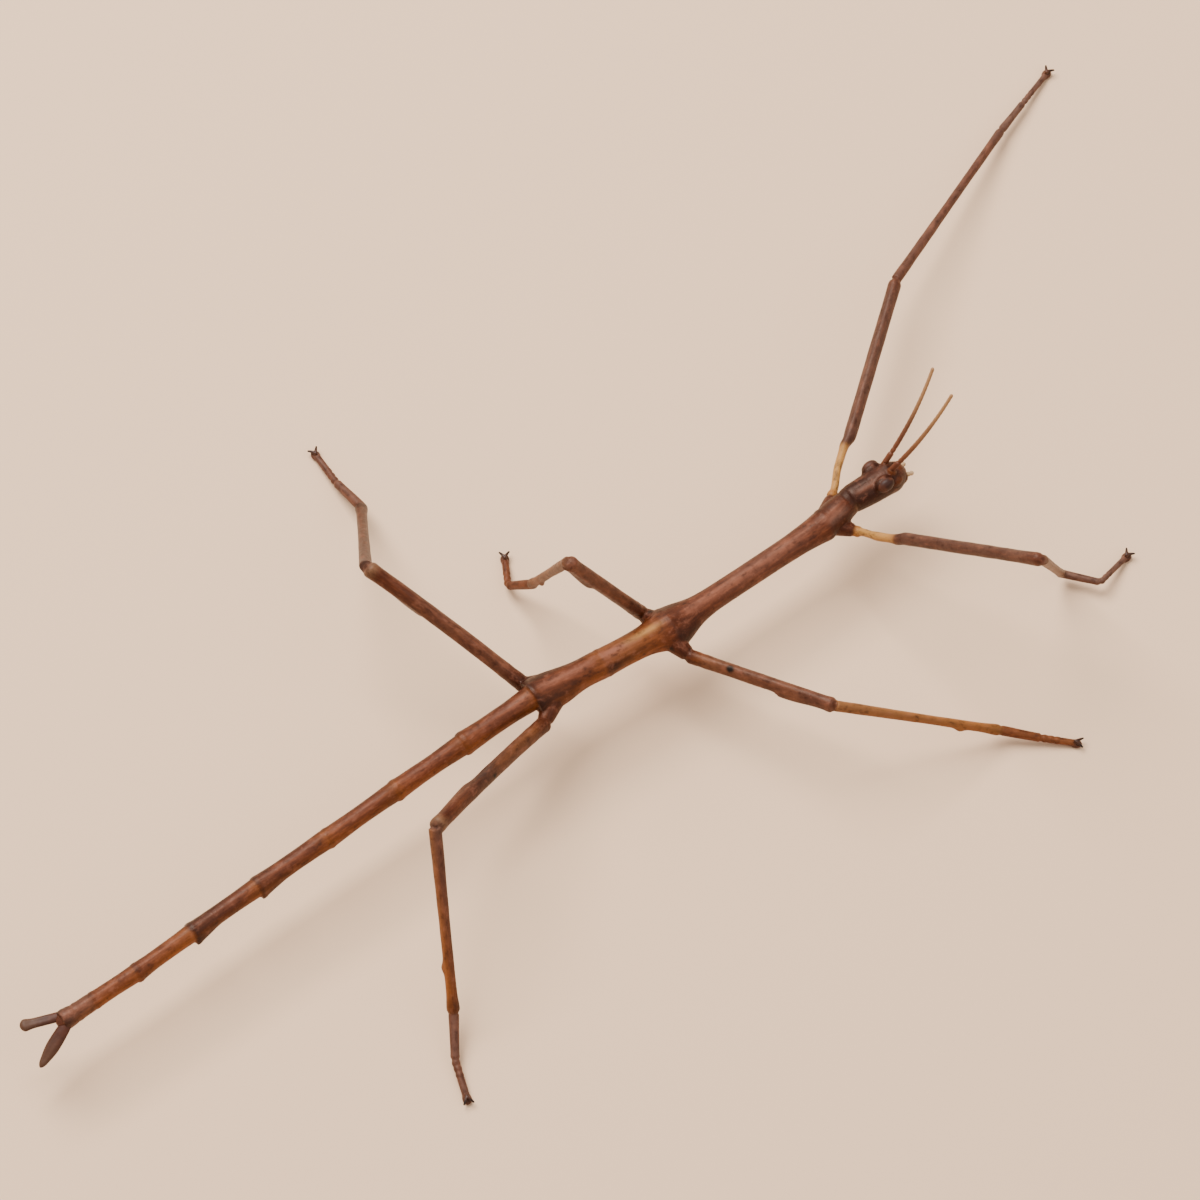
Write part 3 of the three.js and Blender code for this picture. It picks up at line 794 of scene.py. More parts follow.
@dataclass(frozen=True)
class Pose:
    """How one leg stands: each joint's azimuth and elevation in degrees.

    The toe's elevation follows from the floor. `shift` moves the hip forwards and to the left, and
    `roll` turns the lobes about the leg.
    """

    femur: Pair
    tibia: Pair
    basitarsus: Pair
    toe_azimuth: float
    shift: Pair = (0.0, 0.0)
    roll: float = 0.0


@dataclass(frozen=True)
class Leg:
    """One leg: its row's sizes, its pose and the tones of its skin."""

    sizes: LegSizes
    side: Side
    pose: Pose
    femur_tones: Stops
    tibia_tones: Stops
    tarsus_tones: Stops
    coxa_narrowing: float = 0.42
    knob_behind: float = 0.6
    knob_ahead: float = 1.0
    femur_section: Pair = (0.94, 1.04)
    lobe_at: float = 0.64
    lobe_angle: float = 120.0
    lobe_spread: float = 28.0
    toe_height: float = 0.45
    pad_size: Triple = (1.5, 1.15, 0.84)
    pad_ahead: float = 0.1
    pad_sink: float = 0.12
    claw_radius: float = 0.25
    claw_length: float = 1.08
    claw_depth: float = 0.25
    claw_aim: Pair = (36.0, -8.0)
    claw_ahead: float = 0.1
    claw_lift: float = 0.42
    claw_arch: float = 0.13

    @property
    def name(self) -> str:
        """The leg's name, as its solids have it."""
        return f"{self.sizes.row.value}_{self.side.word}"

    def points(self, trunk: Trunk) -> Joints:
        """The root, hip, knee, ankle, bend of the toe and toe's end."""
        sizes = self.sizes
        sign = self.side.value
        station, out, drop = sizes.hip
        root_side, ahead = sizes.root
        shift = Vector((*self.pose.shift, 0))
        hip = trunk.middle(station) + Vector((0, sign * out, -drop)) + shift
        root = trunk.middle(station + ahead) + Vector((0, sign * root_side, -drop / 2))
        knee = hip + heading(*self.pose.femur) * sizes.femur_length
        ankle = knee + heading(*self.pose.tibia) * sizes.tibia_length
        bend = ankle + heading(*self.pose.basitarsus) * sizes.basitarsus_length
        fall = math.degrees(math.asin((self.toe_height - bend.z) / sizes.toe_length))
        toe = bend + heading(self.pose.toe_azimuth, fall) * sizes.toe_length
        return {"root": root, "hip": hip, "knee": knee, "ankle": ankle, "bend": bend, "toe": toe}

    def hind_side(self, angle: Array) -> Array:
        """How much of a lobe stands at an angle: all of it low on the leg's hind side."""
        off = (self.side.value * angle - self.lobe_angle - self.pose.roll + 180) % 360 - 180
        return bump(off, 0, self.lobe_spread)

    def coxa_tube(self, at: Joints) -> Tube:
        """The stout joint between the body and the leg."""
        def girth(t: Array) -> Halves:
            """Narrowing evenly from the body."""
            narrowed = self.sizes.coxa_radius * (1 - self.coxa_narrowing * t)
            around = narrowed * rounding(t, 0, 0.2, blunt=0.5)
            return around, around

        return Tube(f"coxa_{self.name}", at["root"], at["hip"], girth, sides=28, step=0.15,
                    tones=((0, Tone(dark=0.6)), (1, Tone(dark=0.7))))

    def trochanter(self, at: Joints) -> Tube:
        """The small knob between the coxa and the thigh."""
        aim = (at["knee"] - at["hip"]).normalized()
        radius = self.sizes.slim * self.sizes.knob
        start = at["hip"] - aim * self.knob_behind
        end = at["hip"] + aim * self.knob_ahead
        return Tube("trochanter", start, end, egg(radius, radius, blunt=0.2), step=0.12,
                    tones=((0, self.sizes.knob_tone),))

    def femur_tube(self, at: Joints) -> Tube:
        """The thigh: slim at first, then full and ridged, with a knob of a knee."""
        sizes = self.sizes
        wide, high = self.femur_section

        def girth(t: Array) -> Halves:
            """Slim, then full, with a swollen root and the knee's knob."""
            filled = ease(t, sizes.slim_to * 0.8, sizes.slim_to * 1.2)
            thigh = sizes.slim + (sizes.femur_radius - sizes.slim) * filled
            thigh = thigh + sizes.root_swell * bump(t, 0.02, 0.09)
            knob = bump(t, 0.975, 0.04)
            around = thigh + (sizes.knee_radius - thigh) * knob
            around = around * rounding(t, 0.03, 0.03, blunt=0.45)
            return around * wide, around * high

        def flap(t: Array, angle: Array) -> Array:
            """The blade-shaped lobe, the outward shift of the slim stretch and the four ridges."""
            step_out = ease(t, self.lobe_at - 0.06, self.lobe_at)
            blade = step_out * (1 - 0.8 * ease(t, self.lobe_at + 0.02, 0.95))
            lobe = sizes.femur_lobe * blade * self.hind_side(angle)
            outward = np.cos(np.radians(angle - 90 * self.side.value))
            slim_end = 1 - ease(t, sizes.slim_to - 0.015, sizes.slim_to + 0.03)
            shifted = sizes.hollow * outward * ease(t, 0.03, 0.14) * slim_end
            full = ease(t, sizes.slim_to, sizes.slim_to + 0.1) * (1 - ease(t, 0.9, 0.97))
            return lobe + shifted + 0.035 * np.cos(np.radians(4 * angle)) * full

        return Tube(f"femur_{self.name}", at["hip"], at["knee"], girth, flap, bow=sizes.bow, sides=28,
                    tones=self.femur_tones)

    def tibia_tube(self, at: Joints) -> Tube:
        """The shin: slender and straight, a little wider at both ends, lobed above the ankle."""
        sizes = self.sizes

        def girth(t: Array) -> Halves:
            """Slimmest from the middle on, and as wide as the ankle at the end."""
            shin = sizes.tibia_radius * (1.12 - 0.2 * np.clip(t / 0.5, 0, 1))
            end = bump(t, 0.97, 0.06)
            around = (shin + (sizes.ankle_radius - shin) * end) * rounding(t, 0, 0.03, blunt=0.5)
            return around, around

        def flap(t: Array, angle: Array) -> Array:
            """The small lobe and the four low ridges."""
            lobe = sizes.tibia_lobe * bump(t, 0.75, 0.03) * self.hind_side(angle)
            return lobe + 0.02 * np.cos(np.radians(4 * angle + 45)) * (1 - ease(t, 0.92, 1))

        return Tube(f"tibia_{self.name}", at["knee"], at["ankle"], girth, flap, tones=self.tibia_tones)

    def foot_tubes(self, at: Joints) -> list[Tube]:
        """The foot's long first joint, its short joints and toe, and the pad."""
        radius = self.sizes.tarsus_radius

        def first(t: Array) -> Halves:
            """The first joint's girth, narrowing and then flared at its end."""
            flare = 0.08 * bump(t, 0.97, 0.08)
            around = radius * (1.13 - 0.2 * t + flare) * rounding(t, 0, 0.08, blunt=0.7)
            return around, around

        def rest(t: Array) -> Halves:
            """The girth of the short joints, each waisted, and of the toe."""
            along = t * self.sizes.toe_length
            short = 1 - ease(along, 2.1, 2.4)
            joints = 1 - 0.17 * short * np.abs(np.cos(np.pi * along / 0.75)) ** 6
            taper = 0.86 - 0.1 * t + 0.05 * short
            around = radius * taper * joints * rounding(t, 0.05, 0.05, blunt=0.7)
            return around, around

        along = ((at["toe"] - at["bend"]) * Vector((1, 1, 0))).normalized()
        half_length, half_width, half_height = (size / 2 for size in self.pad_size)
        middle = at["toe"] + along * self.pad_ahead
        middle.z = half_height - self.pad_sink
        return [
            Tube("basitarsus", at["ankle"], at["bend"], first, step=0.12, tones=self.tarsus_tones),
            Tube("toe", at["bend"], at["toe"], rest, step=0.1, tones=self.tarsus_tones),
            Tube("pad", middle - along * half_length, middle + along * half_length,
                 egg(half_width, half_height, blunt=0.15), step=0.08,
                 tones=((0, Tone(dark=0.5, grey=0.3)),)),
        ]

    def skin_tubes(self, at: Joints) -> list[Tube]:
        """All the tubes of the leg that the skin covers."""
        upper = [self.coxa_tube(at), self.trochanter(at), self.femur_tube(at), self.tibia_tube(at)]
        return upper + self.foot_tubes(at)

    def claw_tubes(self, at: Joints) -> list[Tube]:
        """The pair of hooked claws that spread from the toe's end, above the pad."""
        along = at["toe"] - at["bend"]
        azimuth = math.degrees(math.atan2(along.y, along.x))
        base = at["toe"] + heading(azimuth, 0) * self.claw_ahead + UP * self.claw_lift
        spread, fall = self.claw_aim

        def girth(t: Array) -> Halves:
            """Narrowing evenly to a fine, rounded tip."""
            around = self.claw_radius * (1 - 0.62 * t) * rounding(t, 0.1, 0.06, blunt=0.2)
            return around, around

        return [
            Tube("claw", base - heading(azimuth + sign * spread, 0) * self.claw_depth,
                 base + heading(azimuth + sign * spread, fall) * self.claw_length, girth,
                 arch=self.claw_arch, sides=16, step=0.05)
            for sign in (1, -1)
        ]

    def nodes(self) -> list[str]:
        """The solids of this leg that the skin stands for."""
        return [f"{piece}_{self.name}" for piece in ("coxa", "femur", "tibia", "tarsus")]


def front_leg(side: Side, pose: Pose) -> Leg:
    """A front leg: the longest and thinnest, its thigh hollowed at the root where it passes the head."""
    root = Tone(pale=0.85)
    body = Tone(dark=0.45, grey=0.35)
    shin = Tone(grey=0.75, pale=0.1) if side is Side.RIGHT else Tone(dark=0.2, grey=0.35)
    femur = ((0, Tone(pale=0.6, warm=0.3)), (0.04, root), (0.19, root),
             (0.22, Tone(pale=0.6, dark=0.1)), (0.235, Tone(dark=0.6, grey=0.2)), (0.29, body),
             (0.9, body), (1, Tone(dark=0.4, grey=0.1)))
    return Leg(FRONT, side, pose, femur, ((0, shin),), ((0, Tone(grey=0.55, dark=0.1)),))


def middle_leg(side: Side, pose: Pose) -> Leg:
    """A middle leg: the shortest, with a small lobe on the thigh and on the shin."""
    warm, dark = (0.3, 0.3) if side is Side.RIGHT else (0.1, 0.15)
    pale = warm * 0.6
    femur = ((0, Tone(dark=0.65)), (0.06, Tone(dark=0.55, warm=warm)),
             (0.12, Tone(dark=dark, warm=warm, grey=0.25)), (1, Tone(dark=dark, grey=0.25)))
    tibia = ((0, Tone(grey=0.3, warm=warm, pale=pale, dark=0.4 - warm)),
             (1, Tone(warm=warm, pale=pale, dark=0.3 - warm)))
    return Leg(MIDDLE, side, pose, femur, tibia, ((0, Tone(dark=0.15, warm=warm, grey=0.1)),))


def hind_leg(side: Side, pose: Pose) -> Leg:
    """A hind leg: the stoutest, with a broad lobe on the thigh."""
    warm, dark, shin = (0.25, 0.45, 0.15) if side is Side.RIGHT else (0.05, 0.2, 0.75)
    femur = ((0, Tone(dark=0.75)), (0.07, Tone(dark=0.7)), (0.13, Tone(dark=dark, warm=warm, grey=0.2)),
             (0.55, Tone(dark=dark + 0.15, warm=warm / 2, grey=0.2)), (0.93, Tone(dark=0.5)),
             (0.97, Tone(pale=0.15, grey=0.5, dark=0.2)), (1, Tone(dark=0.3, grey=0.4)))
    tibia = ((0, Tone(grey=0.35, dark=shin)), (1, Tone(warm=warm, dark=shin)))
    return Leg(HIND, side, pose, femur, tibia, ((0, Tone(grey=0.35, dark=0.15)), (1, Tone(grey=0.45))))


LEGS = (
    front_leg(Side.LEFT, Pose((39, -2), (25, -11), (20, -4), 21, shift=(0.45, -0.65))),
    front_leg(Side.RIGHT, Pose((-70, 37), (37, -64), (-53, 5), 16)),
    middle_leg(Side.LEFT, Pose((158, 62), (83, -66), (113, -47), 60, shift=(-1.2, -0.55), roll=50.0)),
    middle_leg(Side.RIGHT, Pose((-62, 10), (-31, -26), (-43, -10), -42)),
    hind_leg(Side.LEFT, Pose((113, 22), (58, -43), (91, -16), 86, shift=(0.1, -0.8), roll=50.0)),
    hind_leg(Side.RIGHT, Pose((-161, 21), (-119, -41), (-124, -17), -109, shift=(-1.0, 0.0))),
)


@dataclass(frozen=True)
class Fleck:
    """A dark speck on the skin, placed on a tube by its share of the length and its angle."""

    tube: str
    share: float
    angle: float
    radius: float
    strength: float = 1.0


# Tube, share of the length, angle, radius and strength.
FLECKS = (
    Fleck("femur_middle_right", 0.29, -22, 0.55),
    Fleck("femur_hind_right", 0.5, 64, 0.36),
    Fleck("mesothorax", 0.13, 30, 0.22, 0.8),
    Fleck("mesothorax", 0.36, 20, 0.2, 0.7),
    Fleck("mesothorax", 0.55, -15, 0.18, 0.6),
    Fleck("mesothorax", 0.72, 12, 0.2, 0.7),
    Fleck("mesothorax", 0.9, 25, 0.22, 0.6),
    Fleck("mesothorax", 0.93, -20, 0.18, 0.5),
    Fleck("metathorax", 0.88, -92, 0.4, 0.9),
    Fleck("coxa_middle_left", 0.55, -20, 0.42, 0.8),
    Fleck("coxa_hind_left", 0.7, -20, 0.36, 0.6),
    Fleck("abdomen_1", 0.1, -96, 0.36, 0.8),
    Fleck("metathorax", 0.12, -62, 0.5, 0.35),
    Fleck("abdomen_6", 0.04, 60, 0.4, 0.6),
    Fleck("abdomen_2", 0.05, 60, 0.35, 0.5),
    Fleck("abdomen_3", 0.04, 62, 0.35, 0.5),
)


@dataclass(frozen=True)
class Streak:
    """A band of colour along a tube, between two shares of its length and about an angle, for the skin's
    own stains, for painted shade and for painted highlights.

    The tube is named by the start of its name, so one streak can mark a whole row of segments.
    It fades in and out over a short stretch about each of its ends.
    """

    tube: str
    pigment: Pigment
    shares: Pair
    angle: float
    width: float
    strength: float
    outer_fade: float = 0.04
    inner_fade: float = 0.06

    def amount(self, t: Array, angle: Array) -> Array:
        """How much colour it adds at shares of the tube's length and angles about it."""
        off = np.abs((angle - self.angle + 180) % 360 - 180)
        low, high = self.shares
        start = ease(t, low - self.outer_fade, low + self.inner_fade)
        end = 1 - ease(t, high - self.inner_fade, high + self.outer_fade)
        return self.strength * start * end * bump(off, 0, self.width)


# Tube, colouring (own stains, painted shade, painted highlight), shares of the length, angle, width and
# strength.
STREAKS = (
    # The next three streaks are painted shade: the abdomen darker along its upper left edge as the
    # camera sees it, orange-brown on its shaded right flank, and darker underneath.
    Streak("abdomen", Pigment.DARK, (-0.1, 1.1), 66, 24, 0.75),
    Streak("abdomen", Pigment.WARM, (-0.1, 1.1), -78, 28, 0.35),
    Streak("abdomen", Pigment.DARK, (-0.1, 1.1), 180, 60, 0.3),
    Streak("abdomen", Pigment.DARK, (-0.1, 0.06), 0, 130, 0.35),
    # Painted highlight: orange across the top of each abdominal segment's front end.
    Streak("abdomen", Pigment.WARM, (0.9, 1.1), 0, 60, 0.3),
    # The next five streaks are painted shade on the thorax: darker along its upper left edge and its
    # lower right flank, most at the hind end near the coxae.
    Streak("mesothorax", Pigment.DARK, (-0.1, 1.1), 66, 26, 0.55),
    Streak("mesothorax", Pigment.DARK, (-0.1, 1.1), -100, 28, 0.4),
    Streak("mesothorax", Pigment.DARK, (-0.1, 0.22), -70, 40, 0.35),
    Streak("metathorax", Pigment.DARK, (-0.1, 1.1), 66, 24, 0.6),
    Streak("metathorax", Pigment.DARK, (-0.1, 0.35), -70, 30, 0.5),
    # Painted highlight: a pale orange-yellow stripe along the top of the metathorax.
    Streak("metathorax", Pigment.PALE, (0.4, 0.85), 8, 13, 0.75),
    # Painted shade on the metathorax's right side.
    Streak("metathorax", Pigment.DARK, (-0.1, 0.7), -52, 22, 0.45),
    # Painted highlights: pinkish stripes along the tops of the thorax, abdomen and head. The last one
    # lightens the crown between the eyes with the same colour.
    Streak("mesothorax", Pigment.LIGHT, (0.1, 0.85), -8, 15, 0.55),
    Streak("metathorax", Pigment.LIGHT, (0.0, 0.55), 0, 22, 1.0),
    Streak("prothorax", Pigment.LIGHT, (0.0, 0.7), -12, 16, 0.4),
    Streak("abdomen_1", Pigment.LIGHT, (0.1, 0.9), 2, 14, 0.35),
    Streak("abdomen_2", Pigment.LIGHT, (0.7, 1.0), -6, 18, 0.4),
    Streak("abdomen", Pigment.LIGHT, (0.1, 0.9), -8, 14, 0.25),
    Streak("head", Pigment.LIGHT, (0.08, 0.56), -12, 9, 0.45),
    Streak("head", Pigment.LIGHT, (0.5, 0.66), 14, 24, 0.25),
    # Painted shade along the prothorax's upper left edge.
    Streak("prothorax", Pigment.DARK, (-0.1, 1.1), 60, 40, 0.35),
    Streak("prothorax", Pigment.GREY, (0.1, 0.8), -30, 18, 0.5),
    Streak("neck", Pigment.PALE, (-0.1, 1.1), -75, 22, 0.2),
    Streak("head", Pigment.DARK, (0.66, 0.78), -20, 60, 0.4),
    Streak("head", Pigment.DARK, (0.5, 1.1), -100, 40, 0.4),
    Streak("head", Pigment.DARK, (0.5, 1.1), 100, 40, 0.4),
    Streak("femur_front_left", Pigment.DARK, (0.02, 0.2), 100, 30, 0.7),
    Streak("femur_front_right", Pigment.DARK, (0.02, 0.2), -120, 34, 0.35),
    Streak("tibia_middle_right", Pigment.WARM, (-0.1, 1.1), 60, 40, 0.6),
    Streak("tibia_hind_right", Pigment.WARM, (-0.1, 1.1), -60, 40, 0.6),
    Streak("tibia_hind_right", Pigment.DARK, (-0.1, 1.1), 80, 40, 0.45),
    Streak("femur_hind_right", Pigment.WARM, (0.05, 0.6), 20, 40, 0.4),
    # Painted shade under every thigh.
    Streak("femur", Pigment.DARK, (-0.1, 1.1), 180, 50, 0.35),
    Streak("femur_hind_right", Pigment.DARK, (0.45, 0.62), -40, 80, 0.5),
    # Painted shade on the right flank of the first abdominal segment and of the prothorax.
    Streak("abdomen_1", Pigment.DARK, (-0.1, 0.6), -62, 26, 0.45),
    Streak("prothorax", Pigment.DARK, (-0.1, 1.1), -75, 26, 0.4),
    Streak("tibia", Pigment.DARK, (0.9, 1.1), 0, 180, 0.4),
)


# Skin.


@dataclass(frozen=True)
class Skin:
    """The one skin over head, trunk and legs: tubes welded, smoothed, stained, and given painted
    highlights and painted shade.

    The waver is how far its surface rises and sinks, and the inset how much of that it lies deeper.
    Flecks are black up to the first of their edges' shares of the radius and end at the second.
    """

    tubes: Sequence[Tube]
    voxel: float = 0.14
    smooth_passes: int = 3
    relaxing: float = 0.5
    shrink_guard: float = 0.53
    most_triangles: int = 190_000
    stain_passes: int = 4
    waver: float = 0.03
    waver_size: float = 2.2
    waver_inset: float = 1 / 3
    fleck_edges: Pair = (0.5, 1.2)

    def build(self, maker: Maker) -> bpy.types.Object:
        """Makes the whole skin, in millimetres."""
        thing = self.weld(maker)
        self.stain(thing)
        self.roughen(thing)
        return thing

    def weld(self, maker: Maker) -> bpy.types.Object:
        """Joins the tubes into one closed, even surface."""
        thing = maker.from_tubes("skin", self.tubes)
        remesh = thing.modifiers.new("weld", "REMESH")
        remesh.mode = "VOXEL"
        remesh.voxel_size = self.voxel
        factors = [self.relaxing, -self.shrink_guard] * self.smooth_passes + [self.relaxing]
        for index, factor in enumerate(factors):
            smooth = thing.modifiers.new(f"smooth_{index}", "SMOOTH")
            smooth.factor = factor
            smooth.iterations = 1
        self.apply(thing)
        count = sum(len(face.vertices) - 2 for face in thing.data.polygons)
        log.info("welded skin: %d triangles", count)
        thin = thing.modifiers.new("thin", "DECIMATE")
        thin.ratio = min(1.0, self.most_triangles / count)
        thin.use_collapse_triangulate = True
        self.apply(thing)
        return thing

    def apply(self, thing: bpy.types.Object) -> None:
        """Bakes an object's modifiers into its mesh."""
        bpy.context.view_layer.update()
        graph = bpy.context.evaluated_depsgraph_get()
        mesh = bpy.data.meshes.new_from_object(thing.evaluated_get(graph))
        thing.modifiers.clear()
        old = thing.data
        thing.data = mesh
        bpy.data.meshes.remove(old)

    def read(self, rows: bpy.types.bpy_prop_collection, field: str) -> Array:
        """Reads a vector field of many mesh elements as rows of three numbers."""
        values = np.zeros(len(rows) * 3, np.float32)
        rows.foreach_get(field, values)
        return values.reshape(-1, 3)

    def roughen(self, thing: bpy.types.Object) -> None:
        """Gives the surface its slight waver and cuts the feet level with the floor."""
        mesh = thing.data
        waves = [noise.noise(vertex.co / self.waver_size) for vertex in mesh.vertices]
        normals = self.read(mesh.vertex_normals, "vector")
        points = self.read(mesh.vertices, "co")
        points += normals * ((np.array(waves) - self.waver_inset) * self.waver)[:, None]
        points[:, 2] = np.maximum(points[:, 2], 0.0)
        mesh.vertices.foreach_set("co", points.ravel())
        mesh.update()

    def stain(self, thing: bpy.types.Object) -> None:
        """Writes the amount of each colouring, painted highlight and painted shade included, and the
        place along the limb, as attributes of the mesh.
        """
        mesh = thing.data
        count = len(mesh.vertices)
        points = self.read(mesh.vertices, "co")
        nearest = np.full(count, np.inf)
        amounts = {pigment: np.zeros(count) for pigment in Pigment}
        lie = np.zeros((count, 3))
        for tube in self.tubes:
            t, angle, offsets, gap = tube.locate(points)
            closer = gap < nearest
            nearest[closer] = gap[closer]
            for pigment in Pigment:
                amounts[pigment][closer] = self.level(tube, pigment, t[closer], angle[closer])
            lie[closer, 0] = tube.station + t[closer] * tube.length
            lie[closer, 1:] = offsets[closer]
        amounts = {pigment: self.blend(mesh, amount) for pigment, amount in amounts.items()}
        amounts[Pigment.SPOT] = self.flecks(points)
        for pigment, amount in amounts.items():
            layer = mesh.attributes.new(pigment.value, "FLOAT", "POINT")
            layer.data.foreach_set("value", amount.astype(np.float32))
        layer = mesh.attributes.new("lie", "FLOAT_VECTOR", "POINT")
        layer.data.foreach_set("vector", lie.astype(np.float32).ravel())

    def level(self, tube: Tube, pigment: Pigment, t: Array, angle: Array) -> Array:
        """The amount of one colouring, painted light included, at shares of a tube's length and angles
        about it.
        """
        stops = [stop for stop, _ in tube.tones]
        level = np.interp(t, stops, [tone.amount(pigment) for _, tone in tube.tones])
        for streak in STREAKS:
            if streak.pigment is pigment and tube.name.startswith(streak.tube):
                level = level + streak.amount(t, angle)
        return level

    def flecks(self, points: Array) -> Array:
        """How black each point is with flecks."""
        black = np.zeros(len(points))
        start, end = self.fleck_edges
        for fleck in FLECKS:
            tube = next(tube for tube in self.tubes if tube.name == fleck.tube)
            middle = tube.wall(np.array([fleck.share]), np.array([fleck.angle]))[0]
            far = np.linalg.norm(points - middle, axis=1)
            spot = fleck.strength * (1 - ease(far, fleck.radius * start, fleck.radius * end))
            black = np.maximum(black, spot)
        return black

    def blend(self, mesh: bpy.types.Mesh, amount: Array) -> Array:
        """Softens the borders of a colouring, painted light included, by averaging over neighbouring
        vertices.
        """
        ends = np.zeros(len(mesh.edges) * 2, int)
        mesh.edges.foreach_get("vertices", ends)
        one, two = ends.reshape(-1, 2).T
        count = len(amount)
        degree = np.maximum(np.bincount(ends, minlength=count), 1)
        for _ in range(self.stain_passes):
            total = np.bincount(one, amount[two], count) + np.bincount(two, amount[one], count)
            amount = (amount + total / degree) / 2
        return amount


# Shader graphs.


class Value:
    """A number in a shader graph, on which Python's own operators work."""

    def __init__(self, graph: "Graph", socket: Link) -> None:
        """Wraps an output socket of a graph."""
        self.graph = graph
        self.socket = socket

    def maths(self, operation: str, other: "Value | float") -> "Value":
        """Adds one Math node with this value first."""
        return self.graph.value("ShaderNodeMath", {"operation": operation}, {0: self, 1: other})

    def __add__(self, other: "Value | float") -> "Value":
        """This value plus another."""
        return self.maths("ADD", other)

    def __sub__(self, other: "Value | float") -> "Value":
        """This value less another."""
        return self.maths("SUBTRACT", other)

    def __mul__(self, other: "Value | float") -> "Value":
        """This value times another."""
        return self.maths("MULTIPLY", other)

    def __rsub__(self, other: float) -> "Value":
        """A number less this value."""
        return self * -1.0 + other

    __radd__ = __add__
    __rmul__ = __mul__

    def limited(self) -> "Value":
        """This value kept between 0 and 1."""
        return self.graph.value("ShaderNodeClamp", {}, {"Value": self})

    def step(self, low: float, high: float) -> "Value":
        """Goes smoothly from 0 at `low` to 1 at `high`."""
        settings = {"interpolation_type": "SMOOTHSTEP"}
        inputs = {"Value": self, "From Min": low, "From Max": high}
        return self.graph.value("ShaderNodeMapRange", settings, inputs)


Input = Value | Link | Colour | float


class Graph:
    """A material's node graph, with one method for each thing that the finishes need."""

    def __init__(self, name: str) -> None:
        """Starts a material whose one shader is a Principled BSDF."""
        self.material = bpy.data.materials.new(name)
        self.material.use_nodes = True
        self.tree = self.material.node_tree
        self.tree.nodes.clear()
        self.shader = self.node("ShaderNodeBsdfPrincipled", {}, {})
        self.node("ShaderNodeOutputMaterial", {}, {"Surface": self.shader.outputs[0]})

    def feed(self, socket: Link, given: Input) -> None:
        """Links an input to a value or another socket, or sets it to a number or a colour."""
        if isinstance(given, Value):
            given = given.socket
        if isinstance(given, bpy.types.NodeSocket):
            self.tree.links.new(given, socket)
        elif socket.type == "RGBA":
            socket.default_value = (*given, 1.0)
        else:
            socket.default_value = given

    def node(self, kind: str, settings: dict[str, str],
             inputs: dict[str | int, Input]) -> bpy.types.Node:
        """Adds a node.

        Args:
            kind: Blender's name for its type.
            settings: The node's own options, set first.
            inputs: What feeds its sockets, by name or number.

        Returns:
            The node.
        """
        node = self.tree.nodes.new(kind)
        for name, setting in settings.items():
            setattr(node, name, setting)
        for name, given in inputs.items():
            self.feed(node.inputs[name], given)
        return node

    def value(self, kind: str, settings: dict[str, str], inputs: dict[str | int, Input],
              output: int | str = 0) -> Value:
        """Adds a node and wraps one of its outputs."""
        return Value(self, self.node(kind, settings, inputs).outputs[output])

    def amount(self, name: str) -> Value:
        """A number kept on the mesh as an attribute."""
        return self.value("ShaderNodeAttribute", {"attribute_name": name}, {}, "Fac")

    def stretched(self, where: Link, scale: Triple) -> Link:
        """A place times a scale in each direction."""
        return self.node("ShaderNodeMapping", {}, {"Vector": where, "Scale": scale}).outputs[0]

    def lie(self, scale: Triple) -> Link:
        """The place along and about the limb, in millimetres, stretched by a scale."""
        held = self.node("ShaderNodeAttribute", {"attribute_name": "lie"}, {})
        return self.stretched(held.outputs["Vector"], scale)

    def place(self, per_metre: float) -> Link:
        """The object's own coordinates times a scale."""
        held = self.node("ShaderNodeTexCoord", {}, {})
        return self.stretched(held.outputs["Object"], (per_metre, per_metre, per_metre))

    def noise(self, where: Link, detail: float = 3.0, rough: float = 0.55) -> Value:
        """Soft noise about one half."""
        inputs = {"Vector": where, "Scale": 1.0, "Detail": detail, "Roughness": rough}
        return self.value("ShaderNodeTexNoise", {}, inputs)

    def cells(self, where: Link, scale: float) -> Value:
        """The distance to the nearest of many scattered points."""
        return self.value("ShaderNodeTexVoronoi", {}, {"Vector": where, "Scale": scale}, "Distance")

    def blend(self, share: Value, one: Link | Colour, two: Link | Colour) -> Link:
        """Mixes two colours by a share between 0 and 1."""
        inputs = {0: share, 6: one, 7: two}
        return self.node("ShaderNodeMix", {"data_type": "RGBA"}, inputs).outputs[2]

    def set(self, **inputs: Input) -> None:
        """Sets the shader's sockets, with underscores for the spaces in their names."""
        for name, given in inputs.items():
            self.feed(self.shader.inputs[name.replace("_", " ")], given)

    def relief(self, height: Value, depth: float, strength: float = 1.0) -> None:
        """Raises and sinks the surface by a height between 0 and 1, times a depth in metres."""
        inputs = {"Height": height, "Distance": depth, "Strength": strength}
        self.set(Normal=self.node("ShaderNodeBump", {}, inputs).outputs[0])


def linear(share: float) -> float:
    """The light of a screen level, both from 0 to 1."""
    return share / 12.92 if share <= 0.04045 else ((share + 0.055) / 1.055) ** 2.4


def colour(red: int, green: int, blue: int) -> Colour:
    """A linear colour from the three numbers of a screen colour, each up to 255."""
    return linear(red / 255), linear(green / 255), linear(blue / 255)


# Finishes.


